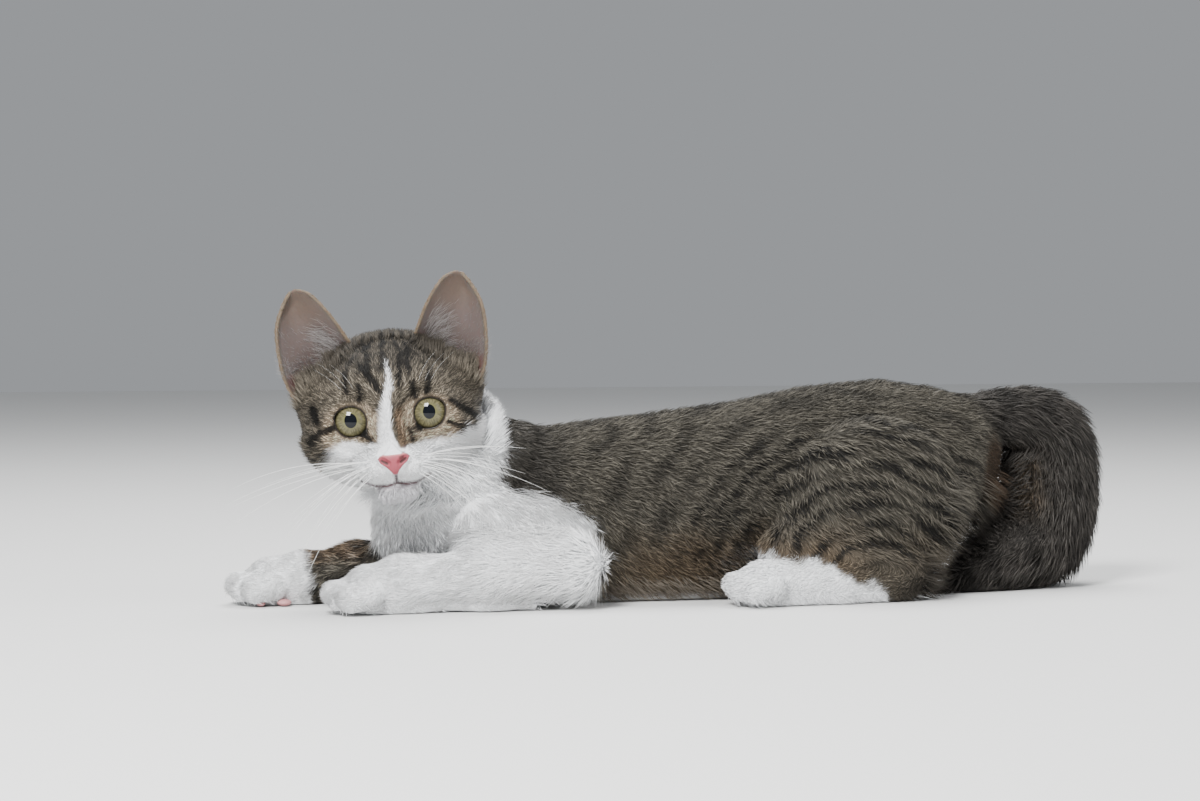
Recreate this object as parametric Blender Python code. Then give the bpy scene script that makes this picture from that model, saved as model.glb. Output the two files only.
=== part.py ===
"""A life-size kitten of about four months lying on its belly, parted into its head, ears, neck, legs and so on.

The head end points to -X, the cat's left side to -Y, and the floor is z = 0. Its face is turned to its left.
"""

import math

import bmesh
import bpy
import numpy as np
from mathutils import Matrix, Vector

MM = 0.001
GAP = 0.3 * MM  # between two parts that meet
BODY_VOXEL = 2.2 * MM
HEAD_VOXEL = 1.1 * MM
EAR_VOXEL = 0.7 * MM
BODY_FACES = 4600  # triangles of the body before it is parted
HEAD_FACES = 3800
EAR_FACES = 460
SOFTEST = 1e3  # mm, a distance beyond the whole cat

# The outline of the trunk with its coat, in mm: along the spine, top, underside and half width.
TRUNK = [
    (-151, 43, 31, 5),
    (-140, 60, 14, 21),
    (-120, 73, 4, 30),
    (-95, 81, -2, 35),
    (-60, 84.5, -3.5, 38),
    (-20, 89, -4, 39),
    (20, 94, -4, 41),
    (55, 100.5, -3, 42),
    (90, 103.8, 3, 41),
    (115, 100.3, 18, 36),
    (135, 95.5, 30, 27),
    (148, 86, 46, 15),
    (153, 74, 62, 4),
]
NECK = [((-97, -1, 57), 29), ((-120, -6, 70), 29), ((-138, -8, 84), 27)]

# Each leg, in mm: centre and radii of the upper leg, then (centre, radius) stations down the bones.
# The paw roots at the last station, turned by so many degrees in plan.
UPPER_FORELEG = {"radii": (35, 17, 26), "lean": -14}
FORELEGS = {
    "left": {
        "upper": (-86, -29, 31),
        "bones": [((-64, -38, 17.5), 18), ((-104, -39, 16.5), 16), ((-140, -37, 13), 13), ((-156, -37, 10.5), 12.5)],
        "paw_turn": 0,
    },
    "right": {
        "upper": (-92, 27, 31),
        "bones": [
            ((-72, 36, 17.5), 18),
            ((-112, 27, 18), 16),
            ((-150, 17, 15.5), 13.5),
            ((-176, 14, 12), 12),
            ((-191, 14, 10.5), 12.5),
        ],
        "paw_turn": 6,
    },
}
THIGH = {"centre": (76, -34, 46), "radii": (46, 21, 40), "lean": 10}
SHANK = [((34, -42, 25), 15), ((62, -46, 19), 13), ((90, -44, 13), 11)]
HIND_FOOT = [((88, -46, 9.5), 9.5), ((55, -50, 9), 9.2), ((20, -50, 10.5), 12)]
HIND_PAW_TURN = 2
RIGHT_HIND_SHIFT = 7  # the far hind leg lies this much further back

# The toes of a paw, in mm from its root: forward, sideways, height of the axis, radius.
FORE_TOES = [(-10.5, -10.4, 8.2, 7), (-14.6, -3.7, 9, 7.4), (-14, 4, 9, 7.4), (-9.5, 10.4, 8.2, 7)]
HIND_TOES = [(-8, -10.2, 8.8, 7.2), (-11.8, -3.5, 9.6, 7.6), (-11.4, 3.9, 9.6, 7.6), (-7, 10.2, 8.8, 7)]
TOE_LENGTH = 9
TOE_DROP = 1.5

TAIL = [
    ((136, 1, 79), 14.5),
    ((160, 5, 81), 16),
    ((181, 11, 73), 22),
    ((185, 12, 50), 24),
    ((176, 6, 25), 24),
    ((155, -4, 15.5), 17),
    ((136, -12, 10), 10.5),
    ((126, -15, 7.5), 7),
]

# The head is drawn in a frame of its own, in mm: x to the cat's left, y back, z up, from between the eyeballs.
HEAD_PLACE = (-145, -28, 85.5)
HEAD_TURN, HEAD_ROLL = -13, -6.7
SKULL = {"centre": (0, 18, 8), "radii": (37, 36, 30)}
BROW = {"centre": (13, 3, 14), "radii": (14, 12, 10)}
CHEEK = {"centre": (21, 9, -8), "radii": (20, 24, 20)}
CHEEKBONE = {"centre": (20, 0, -11), "radii": (14, 11, 9)}
JAW = {"centre": (0, 4, -19), "radii": (24, 19, 13)}
EAR_ROOT = {"centre": (31, 15, 13), "radii": (12, 14, 15)}
NOSE_BRIDGE = [((0, 0, 10), 9), ((0, -8.5, -2), 7.8), ((0, -18.0, -13.5), 6.6)]
WHISKER_PAD = {"centre": (9.2, -13, -20.3), "radii": (11, 11, 8.6)}
CHIN = {"centre": (0, -11, -30), "radii": (10, 9, 5.8)}
NOSE_TIP = {"centre": (0, -23.2, -17.4), "radii": (7.2, 4.6, 3.8)}
NOSE_FOOT = {"centre": (0, -23.0, -20.8), "radii": (3.6, 4.0, 3.6)}
EAR_HOLLOW = {"centre": (33, 11, 26), "radii": (7.5, 8, 9)}
# Grooves of the face, seen from the front in mm: across and up, and the groove's radius.
NOSTRIL = [(2.6, -18.9, 0.9), (5.4, -17.2, 1.1)]
PHILTRUM = [(0, -23.4, 0.9), (0, -28.2, 1.1)]
MOUTH = [(0, -28.2, 1.3), (5, -29.2, 1.4), (10, -28.6, 1.4), (15, -25.8, 1.1)]

EYE_PLACE = (17.2, -0.4, 0)
EYE_RADIUS = 10.0
LID_RADIUS = 11.6
EYE_RINGS, EYE_SIDES = 12, 20
# The opening between the lids, seen from the front in mm: a near circle drawn out at its two corners.
OPENING_RADIUS = 6.8
OPENING_CORNERS = [(-48, 3.4, 15), (150, 0.9, 26)]  # angle from the nose side in degrees, reach, spread in degrees
OPENING_POINTS = 30
OPENING_FLARE = 1.16  # how much wider the opening is where it leaves the lid
LID_CUT = 7.2  # from the eye's centre plane forward to the bottom of the cut
CORNER_RISE = 1.2  # how fast that bottom comes forward past the opening's own circle

EAR_INNER_EDGE = [(9, 9, 24), (12.8, 7, 31.5), (20.8, 4, 46.9), (28.6, 6, 57.1), (34, 9, 60), (36.8, 10, 60.2)]
EAR_OUTER_EDGE = [(37, 9, 7), (42.5, 6, 14.5), (45.6, 4, 26), (46, 5, 41.8), (43, 7.5, 51.5), (38.4, 9.6, 59.4)]
EAR_CUP_DEPTH = (17, 2.5)  # at the base and near the tip
EAR_NARROW = 18  # below this width the cup grows shallower
EAR_ROWS, EAR_COLUMNS = 10, 8
EAR_THICKNESS = 2.4

NECK_CUT = ((-145, -50, 48), (0.490, 0.094, -0.867))  # a point in mm, and the normal away from the head
# The blocks that part the limbs from the torso, in mm: low corner, high corner, turn about the low corner.
LIMB_BLOCKS = {
    "left_foreleg": ((-210, -90, -20), (-44, -24, 57), 0),
    "right_foreleg": ((-238, -10, -20), (-44, 78, 50), 7),
    "left_hindleg": ((-8, -90, -20), (119, -29, 88), 0),
    "right_hindleg": ((-2, 29, -20), (126, 90, 88), 0),
}
TAIL_CUT = {"point": (152, 4, 80), "lean": -11.5, "size": (0.3, 64, 50)}  # in mm and degrees
# Each plane parts one object into two: the first of the pair lies behind its normal. Points in mm.
SPLITS = [
    ("torso", ("neck", "torso"), (-96, 0, 86), (0.72, 0.05, -0.69)),
    ("left_foreleg", ("left_forepaw", "left_foreleg"), (-147, -37, 12), (1, 0, 0.15)),
    ("left_foreleg", ("left_forearm", "left_upper_arm"), (-92, -39, 28), (0.62, 0, 0.78)),
    ("right_foreleg", ("right_forepaw", "right_foreleg"), (-180, 14, 12), (1, 0, 0.15)),
    ("right_foreleg", ("right_forearm", "right_upper_arm"), (-98, 36, 28), (0.62, 0, 0.78)),
    ("left_hindleg", ("left_hind_foot", "left_thigh"), (30, -50, 21), (0.1, 0, 0.995)),
    ("right_hindleg", ("right_hind_foot", "right_thigh"), (37, 50, 21), (0.1, 0, 0.995)),
    ("tail", ("tail_base", "tail_middle"), (186, 11, 73), (0.45, 0, -0.89)),
    ("tail_middle", ("tail_tip", "tail_middle"), (150, -4, 15), (1, 0, 0.1)),
]

TABBY = {"colour": (0.115, 0.098, 0.075, 1), "roughness": 0.85}
WHITE = {"colour": (0.74, 0.76, 0.78, 1), "roughness": 0.85}
EAR_LINING = {"colour": (0.36, 0.25, 0.22, 1), "roughness": 0.7}
IRIS = {"colour": (0.30, 0.31, 0.12, 1), "roughness": 0.05}
LOOKS = {
    "left_eye": IRIS,
    "right_eye": IRIS,
    "left_ear": EAR_LINING,
    "right_ear": EAR_LINING,
    "neck": WHITE,
    "left_forepaw": WHITE,
    "left_forearm": WHITE,
    "left_upper_arm": WHITE,
    "right_forepaw": WHITE,
    "left_hind_foot": WHITE,
    "right_hind_foot": WHITE,
}
SIDES = {"left": 1, "right": -1}  # the sign of the head's x


def clear_scene():
    for obj in list(bpy.data.objects):
        bpy.data.objects.remove(obj)


def material(name, look):
    made = bpy.data.materials.new(name)
    made.use_nodes = True
    shader = made.node_tree.nodes["Principled BSDF"]
    shader.inputs["Base Color"].default_value = look["colour"]
    shader.inputs["Roughness"].default_value = look["roughness"]
    shader.inputs["Metallic"].default_value = 0
    return made


def head_matrix():
    turn = Matrix.Rotation(math.radians(HEAD_TURN), 4, "Z")
    roll = Matrix.Rotation(math.radians(HEAD_ROLL), 4, "Y")
    return turn @ roll


HEAD_MATRIX = head_matrix()


def head_point(local):
    """The world place, in metres, of a point of the head's own frame."""
    return (Vector(HEAD_PLACE) + HEAD_MATRIX @ Vector(local)) * MM


# Distance fields: negative inside a form, in mm, for an array of points in mm

def ball(points, centre, radii, lean=0.0):
    """An ellipsoid, leaned about the Y axis by so many degrees."""
    local = points - np.array(centre, float)
    if lean:
        c, s = math.cos(math.radians(lean)), math.sin(math.radians(lean))
        local = local @ np.array([[c, 0, -s], [0, 1, 0], [s, 0, c]])
    radii = np.array(radii, float)
    near = np.linalg.norm(local / radii, axis=1)
    steep = np.linalg.norm(local / radii**2, axis=1)
    return near * (near - 1) / np.maximum(steep, 1e-6)


def rod(points, start, end):
    """A round rod between two (centre, radius) stations, tapering from one to the other."""
    a, b = np.array(start[0], float), np.array(end[0], float)
    along = np.clip((points - a) @ (b - a) / ((b - a) @ (b - a)), 0, 1)
    axis = a + along[:, None] * (b - a)
    return np.linalg.norm(points - axis, axis=1) - (start[1] + along * (end[1] - start[1]))


def joined(first, second, soft):
    """The union of two fields, rounded where they meet over a width of soft mm."""
    share = np.maximum(soft - np.abs(first - second), 0) / soft
    return np.minimum(first, second) - share * share * soft / 4


def carved(field, hollow, soft):
    return -joined(-field, hollow, soft)


def chain(points, stations, soft):
    field = rod(points, stations[0], stations[1])
    for start, end in zip(stations[1:], stations[2:]):
        field = joined(field, rod(points, start, end), soft)
    return field


def trunk_field(points):
    x, top, under, half = np.array(TRUNK, float).T
    along = points[:, 0]
    top, under, half = (np.interp(along, x, side) for side in (top, under, half))
    middle, tall = (top + under) / 2, (top - under) / 2
    across = np.hypot(points[:, 1] / half, (points[:, 2] - middle) / tall)
    side = (across - 1) * np.minimum(half, tall)
    ends = np.maximum(x[0] - along, along - x[-1])
    return carved(side, -ends, 3)


def toes_field(points, root, turn, toes):
    """A paw's toes, side by side from its root in plan."""
    c, s = math.cos(math.radians(turn)), math.sin(math.radians(turn))
    field = np.full(len(points), SOFTEST)
    for forward, side, high, radius in toes:
        tip = (root[0] + forward * c - side * s, root[1] + forward * s + side * c, high)
        heel = (tip[0] + TOE_LENGTH * c, tip[1] + TOE_LENGTH * s, high + TOE_DROP)
        field = joined(field, rod(points, (heel, radius), (tip, radius)), 1.6)
    return field


def foreleg_field(points, leg):
    field = joined(ball(points, leg["upper"], **UPPER_FORELEG), chain(points, leg["bones"], 6), 10)
    root = leg["bones"][-1][0]
    return joined(field, toes_field(points, root, leg["paw_turn"], FORE_TOES), 3)


def hind_leg_field(points):
    field = joined(ball(points, **THIGH), chain(points, SHANK, 8), 14)
    root = HIND_FOOT[-1][0]
    foot = joined(chain(points, HIND_FOOT, 4), toes_field(points, root, HIND_PAW_TURN, HIND_TOES), 3)
    return joined(field, foot, 3)


def in_head(points):
    """World points as the head's own frame has them, plain and with both sides folded onto the left."""
    local = (points - np.array(HEAD_PLACE, float)) @ np.array(HEAD_MATRIX.to_3x3())
    folded = local.copy()
    folded[:, 0] = np.abs(folded[:, 0])
    return local, folded


def head_field(points):
    local, folded = in_head(points)
    field = joined(ball(local, **SKULL), ball(folded, **CHEEK), 12)
    field = joined(field, ball(folded, **EAR_ROOT), 9)
    field = joined(field, ball(folded, **BROW), 8)
    field = joined(field, ball(local, **JAW), 10)
    field = joined(field, ball(folded, **CHEEKBONE), 7)
    field = joined(field, chain(local, NOSE_BRIDGE, 4), 6)
    field = joined(field, ball(folded, **WHISKER_PAD), 4.5)
    field = joined(field, ball(local, **CHIN), 3.5)
    field = joined(field, ball(folded, EYE_PLACE, (LID_RADIUS,) * 3), 3)
    nose = joined(ball(local, **NOSE_TIP), ball(local, **NOSE_FOOT), 2.5)
    return joined(field, nose, 1.2)


def on_face(across, up):
    """The point of the head's surface met from the front at this place, in the head's frame, by halving."""
    before, behind = -60.0, 0.0
    for _ in range(24):
        middle = (before + behind) / 2
        spot = np.array(head_point((across, middle, up)))[None] / MM
        if head_field(spot)[0] > 0:
            before = middle
        else:
            behind = middle
    return (across, behind, up)


def groove(stations):
    return [(on_face(across, up), radius) for across, up, radius in stations]


def face_cuts(points, field):
    """Carves the ear hollows, the nostrils and the mouth into the head's field."""
    _, folded = in_head(points)
    field = carved(field, ball(folded, **EAR_HOLLOW), 4)
    for line in FACE_GROOVES:
        field = carved(field, chain(folded, line, 1), 0.9)
    return field


def cat_field(points):
    """The whole outside of the cat but its ears, in mm, for points in metres."""
    points = points / MM
    field = joined(trunk_field(points), chain(points, NECK, 10), 14)
    for leg in FORELEGS.values():
        field = joined(field, foreleg_field(points, leg), 5)
    far = points * np.array([1, -1, 1]) - np.array([RIGHT_HIND_SHIFT, 0, 0])
    for seen in (points, far):
        field = joined(field, hind_leg_field(seen), 6)
    field = joined(field, chain(points, TAIL, 8), 6)
    return face_cuts(points, joined(field, head_field(points), 6))


FACE_GROOVES = [groove(line) for line in (NOSTRIL, PHILTRUM, MOUTH)]


# Meshes

def add_ball(bm, centre, radii, turn=Matrix.Identity(4)):
    grow = Matrix.Diagonal((*radii, 1))
    place = Matrix.Translation(centre) @ turn @ grow
    bmesh.ops.create_icosphere(bm, subdivisions=2, radius=1, matrix=Matrix.Scale(MM, 4) @ place)


def add_chain(bm, stations, move=lambda p: p, steps=6):
    for (a, ra), (b, rb) in zip(stations, stations[1:]):
        for step in range(steps + 1):
            share = step / steps
            centre = Vector(a).lerp(Vector(b), share)
            add_ball(bm, move(centre), (ra + share * (rb - ra),) * 3)


def rough_head(bm):
    """Overlapping balls that fill the head, for the remesh to wrap."""
    for form in (SKULL, JAW, CHIN, NOSE_TIP):
        add_ball(bm, head_point(form["centre"]) / MM, form["radii"], HEAD_MATRIX)
    lids = {"centre": EYE_PLACE, "radii": (LID_RADIUS,) * 3}
    for form in (BROW, EAR_ROOT, CHEEK, CHEEKBONE, WHISKER_PAD, lids):
        for side in SIDES.values():
            x, y, z = form["centre"]
            add_ball(bm, head_point((x * side, y, z)) / MM, form["radii"], HEAD_MATRIX)
    add_chain(bm, NOSE_BRIDGE, lambda p: head_point(p) / MM)


def rough_paw(bm, root, side=1):
    add_ball(bm, (root[0] - 9, root[1] * side, 9), (14, 15, 9))


def rough_body(bm):
    """Overlapping balls that fill the whole cat."""
    for start, end in zip(TRUNK, TRUNK[1:]):
        for share in (0, 0.5):
            x, top, under, half = (a + share * (b - a) for a, b in zip(start, end))
            length = min(20, x - TRUNK[0][0] + 6, TRUNK[-1][0] - x + 1)
            add_ball(bm, (x, 0, (top + under) / 2), (length, half, (top - under) / 2))
    add_chain(bm, NECK)
    add_chain(bm, TAIL)
    lean = Matrix.Rotation(math.radians(-UPPER_FORELEG["lean"]), 4, "Y")
    for leg in FORELEGS.values():
        add_ball(bm, leg["upper"], UPPER_FORELEG["radii"], lean)
        add_chain(bm, leg["bones"])
        rough_paw(bm, leg["bones"][-1][0])
    for side, shift in ((1, 0), (-1, RIGHT_HIND_SHIFT)):
        def placed(p):
            return Vector((p[0] + shift, p[1] * side, p[2]))
        add_ball(bm, placed(THIGH["centre"]), THIGH["radii"])
        add_chain(bm, SHANK, placed)
        add_chain(bm, HIND_FOOT, placed)
        rough_paw(bm, placed(HIND_FOOT[-1][0]))
    rough_head(bm)


def object_from(bm, name):
    mesh = bpy.data.meshes.new(name)
    bm.to_mesh(mesh)
    bm.free()
    obj = bpy.data.objects.new(name, mesh)
    bpy.context.scene.collection.objects.link(obj)
    return obj


def apply_modifiers(obj):
    graph = bpy.context.evaluated_depsgraph_get()
    mesh = bpy.data.meshes.new_from_object(obj.evaluated_get(graph), depsgraph=graph)
    obj.modifiers.clear()
    obj.data = mesh


def wrap(obj, voxel):
    remesh = obj.modifiers.new("wrap", "REMESH")
    remesh.mode = "VOXEL"
    remesh.voxel_size = voxel
    apply_modifiers(obj)


def coordinates(obj):
    flat = np.empty(len(obj.data.vertices) * 3, np.float32)
    obj.data.vertices.foreach_get("co", flat)
    return flat.reshape(-1, 3).astype(np.float64)


def slope_of(field, points, step=0.2 * MM):
    sides = [(field(points + e) - field(points - e)) * MM / (2 * step) for e in np.eye(3) * step]
    return np.stack(sides, axis=1)


def settle(obj, field, rounds=4, longest=2 * MM):
    """Moves each vertex along the field's slope until it lies where the field is zero."""
    points = coordinates(obj)
    for _ in range(rounds):
        slope = slope_of(field, points)
        move = field(points)[:, None] * MM * slope / np.maximum((slope**2).sum(1, keepdims=True), 0.2)
        reach = np.linalg.norm(move, axis=1, keepdims=True)
        points -= move * np.minimum(1, longest / np.maximum(reach, 1e-9))
    obj.data.vertices.foreach_set("co", points.astype(np.float32).ravel())
    obj.data.update()


def relax(obj):
    bm = bmesh.new()
    bm.from_mesh(obj.data)
    bmesh.ops.smooth_vert(bm, verts=bm.verts, factor=0.5, use_axis_x=True, use_axis_y=True, use_axis_z=True)
    bm.to_mesh(obj.data)
    bm.free()


def form_on(obj, voxel):
    """Draws rough balls into the cat's own outside. The second wrap clears any folds that the long moves left."""
    wrap(obj, voxel)
    settle(obj, cat_field)
    wrap(obj, voxel)
    settle(obj, cat_field, 2, 0.4 * MM)
    relax(obj)


def thin_out(obj, faces):
    """Reduces the mesh to about so many triangles, fewest where it is flattest."""
    now = sum(len(p.vertices) - 2 for p in obj.data.polygons)
    decimate = obj.modifiers.new("thin out", "DECIMATE")
    decimate.ratio = min(1, faces / now)
    decimate.use_collapse_triangulate = True
    apply_modifiers(obj)


def close_up(bm):
    rim = [e for e in bm.edges if e.is_boundary]
    bmesh.ops.holes_fill(bm, edges=rim, sides=0)
    bmesh.ops.triangulate(bm, faces=[f for f in bm.faces if len(f.verts) > 3])
    bmesh.ops.recalc_face_normals(bm, faces=bm.faces)


def cut_flat(obj, point, normal):
    """Removes what lies past the plane on its normal's side, and closes the cut. The point is in mm."""
    bm = bmesh.new()
    bm.from_mesh(obj.data)
    everything = bm.verts[:] + bm.edges[:] + bm.faces[:]
    bmesh.ops.bisect_plane(
        bm, geom=everything, dist=1e-7, plane_co=Vector(point) * MM, plane_no=Vector(normal), clear_outer=True
    )
    close_up(bm)
    bm.to_mesh(obj.data)
    bm.free()


def extent(verts):
    corners = np.array([v.co for v in verts])
    return float(np.prod(corners.max(0) - corners.min(0)))


def furthest_back(verts):
    return max(v.co.x for v in verts)


def keep_one(obj, most=extent):
    """Leaves only one closed surface of the mesh: the largest, or the one with the most of another measure."""
    bm = bmesh.new()
    bm.from_mesh(obj.data)
    left, shells = set(bm.verts), []
    while left:
        shell, edge = set(), [left.pop()]
        while edge:
            vert = edge.pop()
            shell.add(vert)
            for other in (e.other_vert(vert) for e in vert.link_edges):
                if other in left:
                    left.discard(other)
                    edge.append(other)
        shells.append(shell)
    kept = max(shells, key=most)
    bmesh.ops.delete(bm, geom=[v for v in bm.verts if v not in kept], context="VERTS")
    bm.to_mesh(obj.data)
    bm.free()


def block(name, low, high, turn=0.0):
    """A box between two corners in mm, turned about the vertical through its low corner."""
    bm = bmesh.new()
    bmesh.ops.create_cube(bm, size=1)
    size = Vector(high) - Vector(low)
    bmesh.ops.translate(bm, verts=bm.verts, vec=(0.5, 0.5, 0.5))
    bmesh.ops.scale(bm, verts=bm.verts, vec=size * MM)
    bmesh.ops.rotate(bm, verts=bm.verts, cent=(0, 0, 0), matrix=Matrix.Rotation(math.radians(turn), 3, "Z"))
    bmesh.ops.translate(bm, verts=bm.verts, vec=Vector(low) * MM)
    return object_from(bm, name)


def copy_of(obj, name):
    copy = bpy.data.objects.new("copy", obj.data.copy())
    copy.name = name
    bpy.context.scene.collection.objects.link(copy)
    return copy


def grown(obj, name, by):
    """A copy of a closed form, with each face moved out by so many metres."""
    copy = copy_of(obj, name)
    bm = bmesh.new()
    bm.from_mesh(copy.data)
    bmesh.ops.recalc_face_normals(bm, faces=bm.faces)
    bm.normal_update()
    moves = {v: v.normal * by * v.calc_shell_factor() for v in bm.verts}
    for vert, move in moves.items():
        vert.co += move
    bm.to_mesh(copy.data)
    bm.free()
    return copy


def boolean(obj, other, operation):
    cut = obj.modifiers.new(operation.lower(), "BOOLEAN")
    cut.operation = operation
    cut.object = other
    cut.solver = "EXACT"
    apply_modifiers(obj)


def cut_away(obj, cutter):
    """Takes the cutter's form out of the object, and the cutter out of the scene."""
    boolean(obj, cutter, "DIFFERENCE")
    bpy.data.objects.remove(cutter)


def take_out(whole, name, low, high, turn):
    """Parts what lies in the block from the whole, with the usual gap, and leaves it as its own object."""
    box = block("box", low, high, turn)
    part = copy_of(whole, name)
    boolean(part, box, "INTERSECT")
    cut_away(whole, grown(box, "wider", GAP))
    bpy.data.objects.remove(box)
    keep_one(part)
    keep_one(whole)


def sever(whole, name, point, lean, size):
    """Cuts the whole through with a thin slab, and leaves its far end as an object. Sizes in mm, lean in degrees."""
    bm = bmesh.new()
    place = Matrix.Translation(Vector(point) * MM) @ Matrix.Rotation(math.radians(lean), 4, "Y")
    bmesh.ops.create_cube(bm, size=MM, matrix=place @ Matrix.Diagonal((*size, 1)))
    cut_away(whole, object_from(bm, "slab"))
    keep_one(copy_of(whole, name), furthest_back)
    keep_one(whole)


def split(obj, names, point, normal):
    """Parts an object at a plane: the first name lies behind the plane's normal, the second before it."""
    obj.name = names[0]
    other = copy_of(obj, names[1])
    toward = Vector(normal).normalized()
    cut_flat(obj, Vector(point) - toward * GAP / 2 / MM, toward)
    cut_flat(other, Vector(point) + toward * GAP / 2 / MM, -toward)
    keep_one(obj)
    keep_one(other)


def smooth_curve(points, count):
    """So many points on a smooth curve through the given ones."""
    points = [np.array(p, float) for p in points]
    ends = [2 * points[0] - points[1], *points, 2 * points[-1] - points[-2]]
    out = []
    for k in range(count):
        t = k / (count - 1) * (len(points) - 1)
        i = min(int(t), len(points) - 2)
        t -= i
        a, b, c, d = ends[i : i + 4]
        out.append(0.5 * (2 * b + (c - a) * t + (2 * a - 5 * b + 4 * c - d) * t * t + (3 * b - a - 3 * c + d) * t**3))
    return out


def ear(name, side):
    """A cupped ear: a sheet between its two edges, pushed back in the middle and given its thickness."""
    inner, outer = smooth_curve(EAR_INNER_EDGE, EAR_ROWS), smooth_curve(EAR_OUTER_EDGE, EAR_ROWS)
    bm = bmesh.new()
    grid = []
    for row in range(EAR_ROWS):
        up = row / (EAR_ROWS - 1)
        cup = EAR_CUP_DEPTH[0] + (EAR_CUP_DEPTH[1] - EAR_CUP_DEPTH[0]) * up**0.8
        cup *= min(1, np.linalg.norm(outer[row] - inner[row]) / EAR_NARROW)
        line = []
        for column in range(EAR_COLUMNS):
            across = column / (EAR_COLUMNS - 1)
            point = inner[row] + (outer[row] - inner[row]) * across
            point[1] += cup * math.sin(math.pi * across) ** 0.8
            line.append(bm.verts.new(head_point((point[0] * side, point[1], point[2]))))
        grid.append(line)
    for low, high in zip(grid, grid[1:]):
        for column in range(EAR_COLUMNS - 1):
            bm.faces.new((low[column], low[column + 1], high[column + 1], high[column]))
    bmesh.ops.recalc_face_normals(bm, faces=bm.faces)
    obj = object_from(bm, name)
    solid = obj.modifiers.new("thickness", "SOLIDIFY")
    solid.thickness = EAR_THICKNESS * MM
    solid.offset = 0
    solid.use_even_offset = True
    wrap(obj, EAR_VOXEL)
    relax(obj)
    thin_out(obj, EAR_FACES)
    return obj


def eyeball(name, side, radius):
    """A ball with its pole to the front, so that a slightly larger copy cuts its socket to match."""
    bm = bmesh.new()
    bmesh.ops.create_uvsphere(bm, u_segments=EYE_SIDES, v_segments=EYE_RINGS, radius=radius * MM)
    bmesh.ops.rotate(bm, verts=bm.verts, cent=(0, 0, 0), matrix=Matrix.Rotation(math.radians(90), 3, "X"))
    bmesh.ops.transform(bm, matrix=HEAD_MATRIX, verts=bm.verts)
    x, y, z = EYE_PLACE
    bmesh.ops.translate(bm, verts=bm.verts, vec=head_point((x * side, y, z)))
    bmesh.ops.triangulate(bm, faces=bm.faces)
    return object_from(bm, name)


def opening_reach(angle):
    """How far the lid's edge lies from the eye's axis, in mm, at an angle in degrees from the nose side."""
    reach = OPENING_RADIUS
    for corner, extra, spread in OPENING_CORNERS:
        off = (angle - corner + 180) % 360 - 180
        reach += extra * math.exp(-((off / spread) ** 2))
    return reach


def lid_opening(name, side):
    """The form that cuts the opening between the lids: it reaches from before the face to just behind the eye's front."""
    bm = bmesh.new()
    x, y, z = EYE_PLACE

    def ring(reaches, depths):
        verts = []
        for k, (reach, depth) in enumerate(zip(reaches, depths)):
            turn = 2 * math.pi * k / OPENING_POINTS
            spot = ((x - reach * math.cos(turn)) * side, y - depth, z + reach * math.sin(turn))
            verts.append(bm.verts.new(head_point(spot)))
        return verts

    outline = [opening_reach(360 * k / OPENING_POINTS) for k in range(OPENING_POINTS)]
    deep = [LID_CUT + CORNER_RISE * max(reach - OPENING_RADIUS - 0.8, 0) for reach in outline]
    floor = ring([0.85 * OPENING_RADIUS] * OPENING_POINTS, [LID_CUT] * OPENING_POINTS)
    back = ring([0.96 * reach for reach in outline], deep)
    front = ring([OPENING_FLARE * reach for reach in outline], [2 * EYE_RADIUS] * OPENING_POINTS)
    for k in range(OPENING_POINTS):
        after = (k + 1) % OPENING_POINTS
        bm.faces.new((back[k], back[after], floor[after], floor[k]))
        bm.faces.new((back[after], back[k], front[k], front[after]))
    bm.faces.new(floor)
    bm.faces.new(front)
    bmesh.ops.triangulate(bm, faces=bm.faces)
    bmesh.ops.recalc_face_normals(bm, faces=bm.faces)
    return object_from(bm, name)


def make_body():
    bm = bmesh.new()
    rough_body(bm)
    body = object_from(bm, "torso")
    form_on(body, BODY_VOXEL)
    thin_out(body, BODY_FACES)
    cut_flat(body, (0, 0, 0), (0, 0, -1))
    return body


def make_head():
    bm = bmesh.new()
    rough_head(bm)
    add_chain(bm, NECK)
    head = object_from(bm, "head")
    form_on(head, HEAD_VOXEL)
    point, normal = NECK_CUT
    toward = Vector(normal).normalized()
    cut_flat(head, Vector(point) + toward, toward)
    keep_one(head)
    thin_out(head, HEAD_FACES)
    cut_flat(head, Vector(point) - toward * GAP / 2 / MM, toward)
    keep_one(head)
    return head


def part_body(body):
    """Parts the body into the neck, the torso, the legs and the tail."""
    point, normal = NECK_CUT
    toward = Vector(normal).normalized()
    cut_flat(body, Vector(point) + toward * GAP / 2 / MM, -toward)
    keep_one(body)
    sever(body, "tail", **TAIL_CUT)
    for name, (low, high, turn) in LIMB_BLOCKS.items():
        take_out(body, name, low, high, turn)
    for name, names, at, across in SPLITS:
        split(bpy.data.objects[name], names, at, across)


def add_eyes(head):
    for name, side in SIDES.items():
        cut_away(head, eyeball("socket", side, EYE_RADIUS + GAP / MM))
        cut_away(head, lid_opening("lids", side))
        eyeball(name + "_eye", side, EYE_RADIUS)
    keep_one(head)


def add_ears(head):
    """Each ear's root is let into the head, in a slot of its own form."""
    for name, side in SIDES.items():
        flap = ear(name + "_ear", side)
        cut_away(head, grown(flap, "slot", GAP))
    keep_one(head)


def main():
    clear_scene()
    body = make_body()
    head = make_head()
    part_body(body)
    add_ears(head)
    add_eyes(head)
    for obj in bpy.data.objects:
        obj.data.materials.clear()
        obj.data.materials.append(material("coat_" + obj.name, LOOKS.get(obj.name, TABBY)))
        obj.data.shade_smooth()
        obj.data.set_sharp_from_angle(angle=math.radians(40))


main()
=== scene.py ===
import math

import bmesh
import bpy
import numpy as np
from mathutils import Matrix, Vector


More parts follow.
